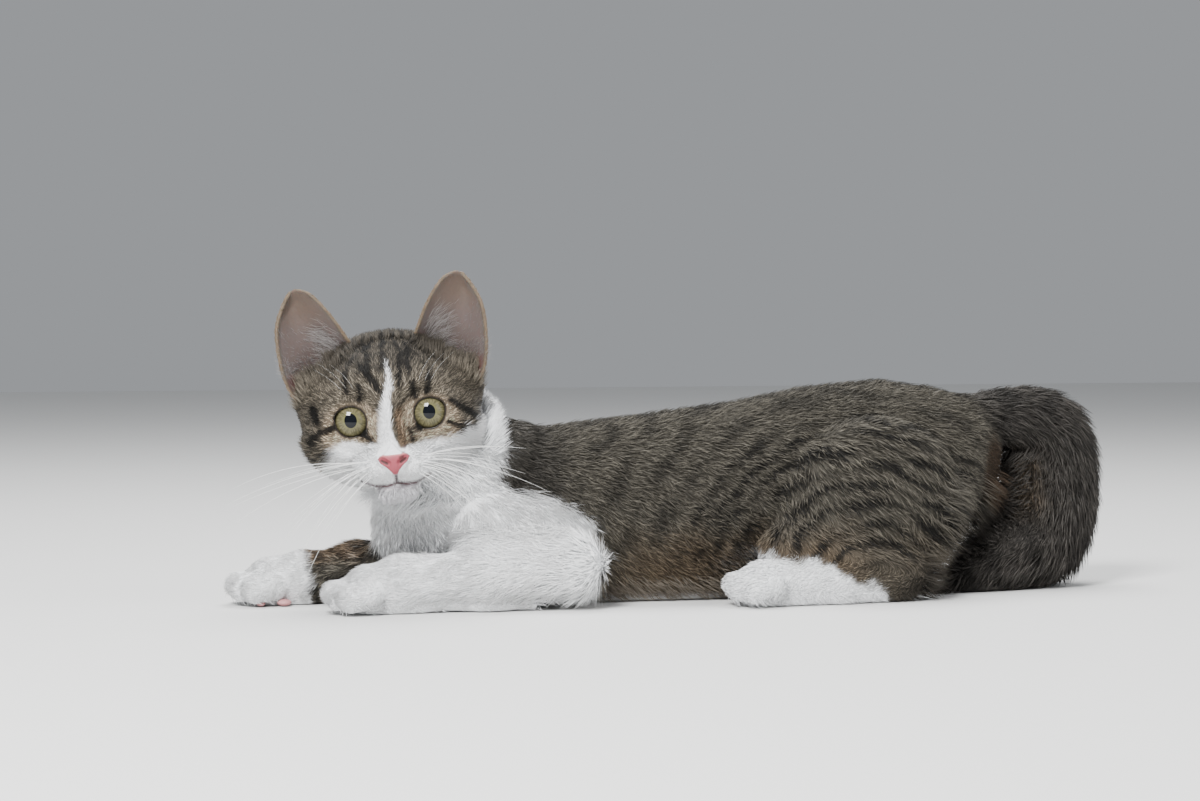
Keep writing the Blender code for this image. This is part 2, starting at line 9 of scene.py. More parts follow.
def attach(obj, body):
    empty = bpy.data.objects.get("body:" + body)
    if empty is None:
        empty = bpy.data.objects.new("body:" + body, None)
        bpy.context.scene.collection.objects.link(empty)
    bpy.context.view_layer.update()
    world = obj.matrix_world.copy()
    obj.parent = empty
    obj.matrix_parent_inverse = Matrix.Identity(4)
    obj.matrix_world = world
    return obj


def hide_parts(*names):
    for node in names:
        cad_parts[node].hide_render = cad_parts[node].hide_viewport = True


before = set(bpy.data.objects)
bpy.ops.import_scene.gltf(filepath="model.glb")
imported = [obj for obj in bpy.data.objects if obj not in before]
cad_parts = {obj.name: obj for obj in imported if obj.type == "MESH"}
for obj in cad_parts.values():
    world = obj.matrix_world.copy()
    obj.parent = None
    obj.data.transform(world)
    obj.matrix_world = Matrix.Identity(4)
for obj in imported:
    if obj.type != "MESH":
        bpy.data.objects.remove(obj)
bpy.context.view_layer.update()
mm = 0.001


def smoothCurve(points, count):
    # a smooth line through the points, as that many places along it
    points = [np.array(p, float) for p in points]
    ends = [2 * points[0] - points[1], *points, 2 * points[-1] - points[-2]]
    out = []
    for k in range(count):
        t = k / (count - 1) * (len(points) - 1)
        i = min(int(t), len(points) - 2)
        t -= i
        a, b, c, d = ends[i : i + 4]
        out.append(
            0.5
            * (2 * b + (c - a) * t + (2 * a - 5 * b + 4 * c - d) * t * t + (3 * b - a - 3 * c + d) * t**3)
        )
    return out


# the kitten's form, in mm: head end to -X, its left side to -Y, floor at z = 0
trunk = {
    "stations": [  # along the spine, top, underside, half width
        (-151, 43, 31, 5), (-140, 60, 14, 21), (-120, 73, 4, 30), (-95, 81, -2, 35), (-60, 84.5, -3.5, 38),
        (-20, 89, -4, 39), (20, 94, -4, 41), (55, 100.5, -3, 42), (90, 103.8, 3, 41), (115, 100.3, 18, 36),
        (135, 95.5, 30, 27), (148, 86, 46, 15), (153, 74, 62, 4),
    ],
    "neck": [((-97, -1, 57), 29), ((-120, -6, 70), 29), ((-138, -8, 84), 27)],
}
foreleg = {
    "radii": (35, 17, 26), "lean": -14,
    "toes": [(-10.5, -10.4, 8.2, 7), (-14.6, -3.7, 9, 7.4), (-14, 4, 9, 7.4), (-9.5, 10.4, 8.2, 7)],
}
nearForeleg = {
    "upper": (-86, -29, 31),
    "bones": [
        ((-64, -38, 17.5), 18), ((-104, -39, 16.5), 16), ((-140, -37, 13), 13), ((-156, -37, 10.5), 12.5),
    ],
    "turn": 0,
}
farForeleg = {
    "upper": (-92, 27, 31),
    "bones": [
        ((-72, 36, 17.5), 18), ((-112, 27, 18), 16), ((-150, 17, 15.5), 13.5), ((-176, 14, 12), 12),
        ((-191, 14, 10.5), 12.5),
    ],
    "turn": 6,
}
hindLeg = {
    "thigh": ((76, -34, 46), (46, 21, 40), 10),
    "shank": [((34, -42, 25), 15), ((62, -46, 19), 13), ((90, -44, 13), 11)],
    "foot": [((88, -46, 9.5), 9.5), ((55, -50, 9), 9.2), ((20, -50, 10.5), 12)],
    "toes": [(-8, -10.2, 8.8, 7.2), (-11.8, -3.5, 9.6, 7.6), (-11.4, 3.9, 9.6, 7.6), (-7, 10.2, 8.8, 7)],
    "turn": 2,
    "farShift": 7,
}
tailForm = {
    "stations": 22,
    "bends": [
        ((136, 1, 79), 14.5), ((160, 5, 81), 16), ((181, 11, 73), 22), ((185, 12, 50), 24),
        ((176, 6, 25), 24), ((155, -4, 15.5), 17), ((136, -12, 10), 10.5), ((126, -15, 7.5), 7),
    ],
}
tail = smoothCurve([(*place, radius) for place, radius in tailForm["bends"]], tailForm["stations"])
tail = [(tuple(row[:3]), row[3]) for row in tail]
head = {
    "place": (-145, -28, 85.5), "turn": -13, "roll": -6.7, "skull": ((0, 18, 8), (37, 36, 30)),
    "brow": ((13, 3, 14), (14, 12, 10)), "cheek": ((21, 9, -8), (20, 24, 20)),
    "cheekbone": ((20, 0, -11), (14, 11, 9)), "jaw": ((0, 4, -19), (24, 19, 13)),
    "earRoot": ((31, 15, 13), (12, 14, 15)),
    "bridge": [((0, 0, 10), 9), ((0, -8.5, -2), 7.8), ((0, -18, -13.5), 6.6)],
    "whiskerPad": ((9.2, -13, -20.3), (11, 11, 8.6)), "chin": ((0, -11, -30), (10, 9, 5.8)),
    "noseTip": ((0, -23.2, -17.4), (7.2, 4.6, 3.8)), "noseFoot": ((0, -23, -20.8), (3.6, 4, 3.6)),
    "earHollow": ((33, 11, 26), (7.5, 8, 9)), "nostril": [(2.6, -18.9, 0.9), (5.4, -17.2, 1.1)],
    "philtrum": [(0, -23.4, 0.9), (0, -28.2, 1.1)],
    "mouth": [(0, -28.2, 1.3), (5, -29.2, 1.4), (10, -28.6, 1.4), (15, -25.8, 1.1)],
}
eye = {
    "place": (17.2, -0.4, 0), "ball": 10.0, "lids": 11.6, "opening": 6.8, "gap": 0.3,
    "globeRings": (96, 64), "socketRings": (48, 32),
    # angle from the nose side, how much further it reaches, spread
    "corners": [(-48, 2.0, 15), (150, 0.9, 26)],
    "points": 72, "slope": {"deep": 8.7, "rise": 1.0, "from": 7.2, "wide": 20, "far": 60.0, "soft": 1.2},
    "flare": 1.12, "cut": 7.2, "rise": 1.2,
}
earForm = {
    "inner": [(9, 9, 24), (12.8, 7, 31.5), (20.8, 4, 46.9), (28.6, 6, 57.1), (34, 9, 60), (36.8, 10, 60.2)],
    "outer": [
        (37, 9, 7), (42.5, 6, 14.5), (45.6, 4, 26), (46, 5, 41.8), (43, 7.5, 51.5), (38.4, 9.6, 59.4),
    ],
    "cup": (17, 2.5), "narrow": 18, "rows": 26, "columns": 18, "thick": 1.7,
}
sides = {"left": 1, "right": -1}
eyePlace = np.array(eye["place"], float)
nosePlace = np.array([0, -23, -18])  # the middle of its leather
headTurn = (
    Matrix.Rotation(math.radians(head["turn"]), 4, "Z")
    @ Matrix.Rotation(math.radians(head["roll"]), 4, "Y")
)
headAxes = np.array(headTurn.to_3x3())


def headPoint(local):
    return (Vector(head["place"]) + headTurn @ Vector(local)) * mm


def norms(rows):
    return np.linalg.norm(rows, axis=1)


def ball(points, centre, radii, lean=0.0):
    local = points - np.array(centre, float)
    if lean:
        c, s = math.cos(math.radians(lean)), math.sin(math.radians(lean))
        local = local @ np.array([[c, 0, -s], [0, 1, 0], [s, 0, c]])
    radii = np.array(radii, float)
    near = norms(local / radii)
    steep = norms(local / radii**2)
    return near * (near - 1) / np.maximum(steep, 1e-6)


def rod(points, start, end):
    a, b = np.array(start[0], float), np.array(end[0], float)
    along = np.clip((points - a) @ (b - a) / ((b - a) @ (b - a)), 0, 1)
    return norms(points - a - along[:, None] * (b - a)) - (start[1] + along * (end[1] - start[1]))


def joined(first, second, soft):
    share = np.maximum(soft - np.abs(first - second), 0) / soft
    return np.minimum(first, second) - share * share * soft / 4


def carved(field, gapShade, soft):
    return -joined(-field, gapShade, soft)


def chain(points, stations, soft):
    field = rod(points, stations[0], stations[1])
    for start, end in zip(stations[1:], stations[2:]):
        field = joined(field, rod(points, start, end), soft)
    return field


def trunkField(points):
    x, top, under, half = np.array(trunk["stations"], float).T
    along = points[:, 0]
    top, under, half = (np.interp(along, x, side) for side in (top, under, half))
    middle, tall = (top + under) / 2, (top - under) / 2
    side = (np.hypot(points[:, 1] / half, (points[:, 2] - middle) / tall) - 1) * np.minimum(half, tall)
    return carved(side, -np.maximum(x[0] - along, along - x[-1]), 3)


def toesField(points, root, turn, toes):
    c, s = math.cos(math.radians(turn)), math.sin(math.radians(turn))
    field = np.full(len(points), 1e3)
    for forward, side, high, radius in toes:
        tip = (root[0] + forward * c - side * s, root[1] + forward * s + side * c, high)
        heel = (tip[0] + 9 * c, tip[1] + 9 * s, high + 1.5)
        field = joined(field, rod(points, (heel, radius), (tip, radius)), 1.6)
    return field


def forelegField(points, leg):
    field = joined(
        ball(points, leg["upper"], foreleg["radii"], foreleg["lean"]), chain(points, leg["bones"], 6), 10,
    )
    return joined(field, toesField(points, leg["bones"][-1][0], leg["turn"], foreleg["toes"]), 3)


def hindLegField(points):
    field = joined(ball(points, *hindLeg["thigh"]), chain(points, hindLeg["shank"], 8), 14)
    foot = joined(
        chain(points, hindLeg["foot"], 4),
        toesField(points, hindLeg["foot"][-1][0], hindLeg["turn"], hindLeg["toes"]), 3,
    )
    return joined(field, foot, 3)


def farHind(points):
    return points * np.array([1, -1, 1]) - np.array([hindLeg["farShift"], 0, 0])


def inHead(points):
    local = (points - np.array(head["place"], float)) @ headAxes
    folded = local.copy()
    folded[:, 0] = np.abs(folded[:, 0])
    return local, folded


def headField(points):
    local, folded = inHead(points)
    field = joined(ball(local, *head["skull"]), ball(folded, *head["cheek"]), 12)
    field = joined(field, ball(folded, *head["earRoot"]), 9)
    field = joined(field, ball(folded, *head["brow"]), 8)
    field = joined(field, ball(local, *head["jaw"]), 10)
    field = joined(field, ball(folded, *head["cheekbone"]), 7)
    field = joined(field, chain(local, head["bridge"], 4), 6)
    field = joined(field, ball(folded, *head["whiskerPad"]), 4.5)
    field = joined(field, ball(local, *head["chin"]), 3.5)
    field = joined(field, ball(folded, eye["place"], (eye["lids"],) * 3), 3)
    return joined(field, joined(ball(local, *head["noseTip"]), ball(local, *head["noseFoot"]), 2.5), 1.2)


def onFace(across, up, field=headField):
    # where the face is met from the front, in the head's own frame, by halving
    across, up = np.atleast_1d(np.array(across, float)), np.atleast_1d(np.array(up, float))
    before, behind = np.full(len(across), -60.0), np.zeros(len(across))
    for _ in range(22):
        middle = (before + behind) / 2
        out = field(np.stack([across, middle, up], 1) @ headAxes.T + np.array(head["place"])) > 0
        before, behind = np.where(out, middle, before), np.where(out, behind, middle)
    return behind


def groove(stations, grow=1.0):
    return [((x, float(onFace(x, z)[0]), z), radius * grow) for x, z, radius in stations]


faceGrooves = [groove(head["nostril"], 1.7), groove(head["philtrum"]), groove(head["mouth"])]


def faceCuts(points, field):
    folded = inHead(points)[1]
    field = carved(field, ball(folded, *head["earHollow"]), 4)
    x, y, z = (folded - eyePlace).T
    out = np.hypot(x, z)
    slope = eye["slope"]
    dish = (
        (y + slope["deep"] + slope["rise"] * np.maximum(out - slope["from"], 0))
        / math.hypot(1, slope["rise"])
    )
    field = carved(field, np.where(out < slope["wide"], dish, slope["far"]), slope["soft"])
    for line in faceGrooves:
        field = carved(field, chain(folded, line, 1), 0.9)
    return field


def partFields(points):
    return {
        "trunk": trunkField(points), "neck": chain(points, trunk["neck"], 10),
        "nearForeleg": forelegField(points, nearForeleg), "farForeleg": forelegField(points, farForeleg),
        "nearHind": hindLegField(points), "farHind": hindLegField(farHind(points)),
        "tail": chain(points, tail, 2), "head": headField(points),
    }


def coatOutline(points, parts):
    field = joined(parts["trunk"], parts["neck"], 14)
    for leg in ("nearForeleg", "farForeleg"):
        field = joined(field, parts[leg], 5)
    for leg in ("nearHind", "farHind"):
        field = joined(field, parts[leg], 6)
    return faceCuts(points, joined(joined(field, parts["tail"], 6), parts["head"], 6))


def ramp(value, low, high):
    share = np.clip((value - low) / (high - low), 0, 1)
    return share * share * (3 - 2 * share)


def normalised(rows):
    return rows / np.maximum(norms(rows)[:, None], 1e-9)


def stroke(across, up, line):
    best = np.full(len(across), 1e3)
    for (x0, z0, r0), (x1, z1, r1) in zip(line, line[1:]):
        dx, dz = x1 - x0, z1 - z0
        t = np.clip(((across - x0) * dx + (up - z0) * dz) / (dx * dx + dz * dz), 0, 1)
        best = np.minimum(best, np.hypot(across - x0 - t * dx, up - z0 - t * dz) - (r0 + t * (r1 - r0)))
    return best


def ruling(parts):
    # which part each point belongs to, by its number
    return np.argmin(np.stack(list(parts.values())), 0)


def shares(parts, soft=3.5):
    # how much each part rules at a point
    rows = {name: np.exp(-np.clip(field, -12, 40) / soft) for name, field in parts.items()}
    whole = sum(rows.values())
    return {name: row / whole for name, row in rows.items()}


def nearestOn(points, stations):
    # place along a chain of rods: which share of it, the radius there and the direction
    rows = []
    for index, (start, end) in enumerate(zip(stations, stations[1:])):
        a, b = np.array(start[0], float), np.array(end[0], float)
        t = np.clip((points - a) @ (b - a) / ((b - a) @ (b - a)), 0, 1)
        radius = start[1] + t * (end[1] - start[1])
        gap = norms(points - a - t[:, None] * (b - a)) - radius
        rows.append((gap, (index + t) / (len(stations) - 1), radius, (b - a) / np.linalg.norm(b - a)))
    best = np.min([row[0] for row in rows], axis=0)
    weights = [np.exp((best - row[0]) / 6) for row in rows]
    whole = sum(weights)
    along = sum(w * row[1] for w, row in zip(weights, rows)) / whole
    radius = sum(w * row[2] for w, row in zip(weights, rows)) / whole
    return along, radius, normalised(sum(w[:, None] * row[3] for w, row in zip(weights, rows)))


coatDepth = {
    "trunk": 4.8, "neck": 5.6, "legs": 3.6, "paws": 1.8, "thigh": 4.4, "hindFoot": 2.2, "tailShare": 0.27,
    "face": 1.6, "cheek": 5.0, "crown": 2.6, "ruff": 6.0, "belly": 2.0,
}


def depthOf(points, parts):
    d, share = coatDepth, shares(parts)
    local, folded = inHead(points)
    x, z = points[:, 0], points[:, 2]
    trunkDepth = (
        (d["belly"] + (d["trunk"] - d["belly"]) * ramp(z, 3, 22))
        * (1 - 0.6 * ramp(x, 118, 138) * ramp(76 - z, 0, 14))
    )
    tailShare = d["tailShare"] * (1 - 0.65 * ramp(178 - x, 0, 12) * ramp(70 - z, 0, 12) * ramp(z, 14, 24))
    near = d["paws"] + (d["legs"] - d["paws"]) * ramp(x, -150, -118)
    near = near + (d["trunk"] - d["legs"]) * ramp(x, -105, -70)
    far = d["paws"] + (d["legs"] - d["paws"]) * ramp(x, -182, -150)
    hind = (
        d["hindFoot"]
        + (d["thigh"] - d["hindFoot"]) * ramp(z - np.interp(x, [0, 60, 95], [24, 20, 12]), 0, 12)
    )
    noseGap = norms(local - nosePlace)
    eyeGap = norms(folded - eyePlace)
    face = d["face"] + (d["crown"] - d["face"]) * ramp(local[:, 1], -2, 20)
    face = face + (d["cheek"] - d["face"]) * ramp(folded[:, 0], 20, 32) * ramp(-4 - local[:, 2], 0, 10)
    face = face + (d["ruff"] - d["crown"]) * ramp(local[:, 1], 8, 26) * ramp(-local[:, 2], -8, 14)
    lips = stroke(folded[:, 0], local[:, 2], [(a, b, 0) for a, b, _ in head["mouth"]])
    face = (
        face * ramp(noseGap, 6, 20) * ramp(eyeGap, 12.2, 16)
        * np.where(local[:, 1] < 2, 0.3 + 0.7 * ramp(lips, 0, 5), 1)
    )
    face = face * (0.35 + 0.65 * ramp(ball(folded, *head["earHollow"]), 1, 6))
    depth = (
        share["trunk"] * trunkDepth + share["neck"] * d["neck"] + share["nearForeleg"] * near
        + share["farForeleg"] * far + (share["nearHind"] + share["farHind"]) * hind
        + share["tail"] * tailShare * nearestOn(points, tail)[1] + share["head"] * face
    )
    return depth * ramp(z, 0.5, 7)


def skinField(points):
    points = points / mm
    parts = partFields(points)
    return coatOutline(points, parts) + depthOf(points, parts)


# mesh helpers
def objectFrom(bm, name, smooth=True):
    mesh = bpy.data.meshes.new(name)
    bm.to_mesh(mesh)
    bm.free()
    if smooth:
        mesh.shade_smooth()
    obj = bpy.data.objects.new(name, mesh)
    bpy.context.scene.collection.objects.link(obj)
    return obj


def applyModifiers(obj):
    graph = bpy.context.evaluated_depsgraph_get()
    mesh = bpy.data.meshes.new_from_object(obj.evaluated_get(graph), depsgraph=graph)
    obj.modifiers.clear()
    obj.data = mesh


def wrap(obj, voxel):
    remesh = obj.modifiers.new("wrap", "REMESH")
    remesh.mode, remesh.voxel_size = "VOXEL", voxel * mm
    applyModifiers(obj)


def coordinates(obj):
    flat = np.empty(len(obj.data.vertices) * 3, np.float32)
    obj.data.vertices.foreach_get("co", flat)
    return flat.reshape(-1, 3).astype(np.float64)


def vertexNormals(obj):
    flat = np.empty(len(obj.data.vertices) * 3, np.float32)
    obj.data.vertex_normals.foreach_get("vector", flat)
    return flat.reshape(-1, 3)


def settle(obj, field, rounds, longest):
    # moves each vertex along the field's slope until it lies where the field is zero
    points = coordinates(obj)
    step = skinForm["probe"] * mm
    for _ in range(rounds):
        here = field(points)
        slope = np.stack([(field(points + e) - here) * mm / step for e in np.eye(3) * step], 1)
        move = (
            here[:, None] * mm * slope / np.maximum((slope**2).sum(1, keepdims=True), skinForm["flattest"])
        )
        reach = np.linalg.norm(move, axis=1, keepdims=True)
        points -= move * np.minimum(1, longest * mm / np.maximum(reach, 1e-9))
    obj.data.vertices.foreach_set("co", points.astype(np.float32).ravel())
    obj.data.update()


def relax(obj, factor=0.5):
    bm = bmesh.new()
    bm.from_mesh(obj.data)
    bmesh.ops.smooth_vert(
        bm, verts=bm.verts, factor=factor, use_axis_x=True, use_axis_y=True, use_axis_z=True,
    )
    bm.to_mesh(obj.data)
    bm.free()


def cutFlat(obj, point, normal):
    bm = bmesh.new()
    bm.from_mesh(obj.data)
    bmesh.ops.bisect_plane(
        bm, geom=bm.verts[:] + bm.edges[:] + bm.faces[:], dist=1e-7, plane_co=Vector(point) * mm,
        plane_no=Vector(normal), clear_outer=True,
    )
    bmesh.ops.holes_fill(bm, edges=[e for e in bm.edges if e.is_boundary], sides=0)
    bmesh.ops.triangulate(bm, faces=[f for f in bm.faces if len(f.verts) > 4])
    bmesh.ops.recalc_face_normals(bm, faces=bm.faces)
    bm.to_mesh(obj.data)
    bm.free()


def boolean(obj, other, operation):
    cut = obj.modifiers.new(operation.lower(), "BOOLEAN")
    cut.operation, cut.object, cut.solver = operation, other, "MANIFOLD"
    applyModifiers(obj)
    bpy.data.objects.remove(other)


def addBall(bm, centre, radii, turn=Matrix.Identity(4)):
    place = Matrix.Translation(centre) @ turn @ Matrix.Diagonal((*radii, 1))
    bmesh.ops.create_icosphere(bm, subdivisions=2, radius=1, matrix=Matrix.Scale(mm, 4) @ place)


def addChain(bm, stations, move=lambda p: p, slim=1.0, steps=6):
    for (a, ra), (b, rb) in zip(stations, stations[1:]):
        for step in range(steps + 1):
            centre = Vector(a).lerp(Vector(b), step / steps)
            addBall(bm, move(centre), ((ra + step / steps * (rb - ra)) * slim,) * 3)


def roughHead(bm):
    for name in ("skull", "jaw", "chin", "noseTip"):
        centre, radii = head[name]
        addBall(bm, headPoint(centre) / mm, radii, headTurn)
    for centre, radii in (
        head["brow"], head["earRoot"], head["cheek"], head["cheekbone"], head["whiskerPad"],
        (eye["place"], (eye["lids"],) * 3),
    ):
        for side in sides.values():
            addBall(bm, headPoint((centre[0] * side, centre[1], centre[2])) / mm, radii, headTurn)
    addChain(bm, head["bridge"], lambda p: headPoint(p) / mm)


def roughBody(bm):
    stations = trunk["stations"]
    for start, end in zip(stations, stations[1:]):
        for share in (0, 0.5):
            x, top, under, half = (a + share * (b - a) for a, b in zip(start, end))
            length = min(20, x - stations[0][0] + 6, stations[-1][0] - x + 1)
            addBall(
                bm, (x, 0, (top + under) / 2), (length, max(half - 5, 3), max((top - under) / 2 - 4, 3)),
            )
    addChain(bm, trunk["neck"], slim=0.8)
    addChain(bm, tail, slim=0.62)
    lean = Matrix.Rotation(math.radians(-foreleg["lean"]), 4, "Y")
    for leg in (nearForeleg, farForeleg):
        addBall(bm, leg["upper"], foreleg["radii"], lean)
        addChain(bm, leg["bones"], slim=0.85)
        root = leg["bones"][-1][0]
        addBall(bm, (root[0] - 9, root[1], 9), (13, 14, 8))
    for side, shift in ((1, 0), (-1, hindLeg["farShift"])):
        def placed(p):
            return Vector((p[0] + shift, p[1] * side, p[2]))
        addBall(bm, placed(hindLeg["thigh"][0]), hindLeg["thigh"][1])
        addChain(bm, hindLeg["shank"], placed, 0.85)
        addChain(bm, hindLeg["foot"], placed, 0.85)
        root = placed(hindLeg["foot"][-1][0])
        addBall(bm, (root[0] - 7, root[1], 9), (13, 14, 8))
    roughHead(bm)


neckCut = {"point": (-145, -50, 48), "normal": (0.490, 0.094, -0.867), "overlap": 0.5}
# the voxels of the first and the last wrap and the rounds between them; how settling feels its way
skinForm = {
    "body": (3.0, 1.9, 5), "head": (1.6, 0.88, 4), "probe": 0.2, "flattest": 0.25, "floorCut": 0.4,
}


def formSkin(obj, coarse, fine, rounds):
    wrap(obj, coarse)
    settle(obj, skinField, rounds, 2.5)
    wrap(obj, fine)
    settle(obj, skinField, 3, 0.5 * fine)
    relax(obj)
    settle(obj, skinField, 1, 0.2 * fine)


def makeSkin():
    toward = Vector(neckCut["normal"]).normalized()
    bm = bmesh.new()
    roughBody(bm)
    body = objectFrom(bm, "skin")
    formSkin(body, *skinForm["body"])
    cutFlat(body, neckCut["point"], -toward)
    bm = bmesh.new()
    roughHead(bm)
    addChain(bm, trunk["neck"], slim=0.8)
    skull = objectFrom(bm, "headSkin")
    formSkin(skull, *skinForm["head"])
    cutFlat(skull, Vector(neckCut["point"]) + toward * neckCut["overlap"], toward)
    boolean(body, skull, "UNION")
    cutFlat(body, (0, 0, skinForm["floorCut"]), (0, 0, -1))
    return body


def openingReach(angle):
    reach = eye["opening"]
    for corner, extra, spread in eye["corners"]:
        off = (np.asarray(angle) - corner + 180) % 360 - 180
        reach = reach + extra * np.exp(-((off / spread) ** 2))
    return reach


def eyeBall(name, side, radius, segments, rings):
    # its poles point forward and back
    bm = bmesh.new()
    bmesh.ops.create_uvsphere(bm, u_segments=segments, v_segments=rings, radius=radius * mm)
    bmesh.ops.rotate(bm, verts=bm.verts, cent=(0, 0, 0), matrix=Matrix.Rotation(math.radians(90), 3, "X"))
    bmesh.ops.transform(bm, matrix=headTurn, verts=bm.verts)
    x, y, z = eye["place"]
    bmesh.ops.translate(bm, verts=bm.verts, vec=headPoint((x * side, y, z)))
    return objectFrom(bm, name)


def lidOpening(side):
    bm = bmesh.new()
    x, y, z = eye["place"]
    count = eye["points"]

    def ring(reaches, depths):
        made = []
        for k, (reach, depth) in enumerate(zip(reaches, depths)):
            turn = 2 * math.pi * k / count
            made.append(
                bm.verts.new(
                    headPoint(((x - reach * math.cos(turn)) * side, y - depth, z + reach * math.sin(turn)))
                )
            )
        return made

    outline = [openingReach(360 * k / count) for k in range(count)]
    deep = [eye["cut"] + eye["rise"] * max(reach - eye["opening"] - 0.8, 0) for reach in outline]
    floorRing = ring([0.85 * eye["opening"]] * count, [eye["cut"]] * count)
    back = ring([0.96 * reach for reach in outline], deep)
    front = ring([eye["flare"] * reach for reach in outline], [2 * eye["ball"]] * count)
    for k in range(count):
        after = (k + 1) % count
        bm.faces.new((back[k], back[after], floorRing[after], floorRing[k]))
        bm.faces.new((back[after], back[k], front[k], front[after]))
    bm.faces.new(floorRing)
    bm.faces.new(front)
    bmesh.ops.triangulate(bm, faces=bm.faces)
    bmesh.ops.recalc_face_normals(bm, faces=bm.faces)
    return objectFrom(bm, "opening")


skin = makeSkin()
for side in sides.values():
    boolean(skin, eyeBall("socket", side, eye["ball"] + eye["gap"], *eye["socketRings"]), "DIFFERENCE")
    boolean(skin, lidOpening(side), "DIFFERENCE")
print("skin:", len(skin.data.polygons), "faces")


# the markings, from places on the body in mm
def ripple(points, size, seed, waves=7):
    draw = np.random.RandomState(seed)
    ways = draw.normal(size=(waves, 3))
    ways *= (
        (2 * math.pi / size) * draw.uniform(0.7, 1.5, (waves, 1))
        / np.linalg.norm(ways, axis=1, keepdims=True)
    )
    return np.sin(points @ ways.T + draw.uniform(0, 6.28, waves)).sum(1) / math.sqrt(waves) * 1.2


coat = {  # linear colours
    "ground": (0.096, 0.087, 0.070), "warm": (0.128, 0.094, 0.060), "stripe": (0.006, 0.0055, 0.005),
    "ticked": (0.044, 0.040, 0.034), "white": (0.88, 0.89, 0.90), "tail": (0.052, 0.047, 0.042),
    "face": (0.132, 0.113, 0.086), "crown": (0.062, 0.053, 0.041), "buff": (0.40, 0.31, 0.22),
    "tan": (0.17, 0.115, 0.072), "faceStripe": (0.006, 0.005, 0.004), "nose": (0.31, 0.066, 0.085),
    "lip": (0.10, 0.06, 0.065), "shade": (0.030, 0.026, 0.021), "gapShade": (0.040, 0.024, 0.013),
    "lilac": (0.30, 0.255, 0.28), "chin": (0.62, 0.60, 0.63),
}
# rings of stripes round the haunch; under gives the x and z of the line below which its lower rear is
# painted in shade
haunch = {
    "centre": (70, -4), "spacing": (8.0, 14.0), "turnover": 92, "under": ((71, 111, 135), (8.7, 26.7, 42)),
}
# z, x of the white's edge
nearBorder = [
    (0, -54), (6, -54), (22, -49), (37, -53), (50, -71), (54, -96), (57, -98), (86, -96), (100, -105),
]
farBorder = [(0, -92), (20, -95), (40, -104), (60, -118), (80, -128), (100, -132)]
hindFootWhite = ((0, 22, 44, 57, 72, 82), (27, 23.5, 19.5, 12, 8.5, -2))  # x, how high the white reaches
faceMarks = {
    "blaze": [
        (1.0, 25.5, 0.2), (1.2, 17.8, 1.0), (0.5, 11.7, 1.7), (-1.3, 4.3, 2.6), (-3.2, -2.9, 3.2),
        (-2.4, -10.5, 4.2), (-0.8, -16.8, 5.4),
    ],
    "whiteEdge": [
        (-44.8, -23.7), (-34.6, -19.6), (-30.9, -18.2), (-28.3, -9.5), (-21.1, -8.0), (-10.4, -9.6),
        (-6.9, -10.0), (1.4, -13.1), (7.8, -12.2), (16.1, -10.2), (27.1, -9.8), (38.4, -8.3), (48.1, -0.6),
    ],
    "stripes": [
        [(-10.3, 24.9, 0.9), (-6.6, 18.7, 1.2), (-4.0, 14.8, 1.2), (-3.2, 11.4, 0.7)],
        [(-12.1, 15.5, 0.7), (-12.2, 9.2, 0.8)],
        [(-7.7, 33, 0.9), (-7.1, 25.8, 0.9), (-6.5, 20, 0.8)],
        [(6.9, 27, 0.9), (6.4, 19, 1.2), (6, 13.7, 0.8)], [(11.7, 14.5, 0.8), (12, 8.1, 0.8)],
        [(10.4, 32, 0.9), (11, 18.8, 0.9)], [(-17.9, 21.5, 0.8), (-17.5, 12.9, 0.8)],
        [(19.8, 19, 0.8), (17.5, 9.7, 0.8)],
        [(-24.9, -1.7, 0.9), (-30.8, -2.8, 1.2), (-38, -7.7, 1.4)],
        [(-30, -11.3, 0.8), (-38.5, -15.6, 1.2)], [(-34, 7.7, 1.6), (-32.6, 1.3, 1.6)],
        [(27.5, 4.5, 0.9), (33.2, 0.7, 1.3), (40, -5.4, 1.5)], [(25.5, -4.5, 0.7), (34.7, -8.2, 1.0)],
        [(-11.2, -5.2, 0.6), (-9.5, -9.3, 0.5)], [(8.6, -5.0, 0.6), (9.4, -10.2, 0.5)],
    ],
    "bridge": [(4.6, 3.2, 1.8), (4.4, -4.2, 2.2), (4.6, -11.5, 2.2)],
    "bridgeSpots": [(5.2, -12.8, 0.9), (4.4, -15.4, 0.8)],
    "underLip": [(0, -30.4, 1.2), (8, -30.4, 1.2)],
}


def mixed(first, second, share):
    return first + (np.array(second) - first) * share[:, None]


def plain(colour, like):
    return np.tile(np.array(colour), (len(like), 1))


def layered(colour, *layers):
    # each layer is a colour's name and its share at each place, laid over those before it
    for name, share in layers:
        colour = mixed(colour, coat[name], share)
    return colour


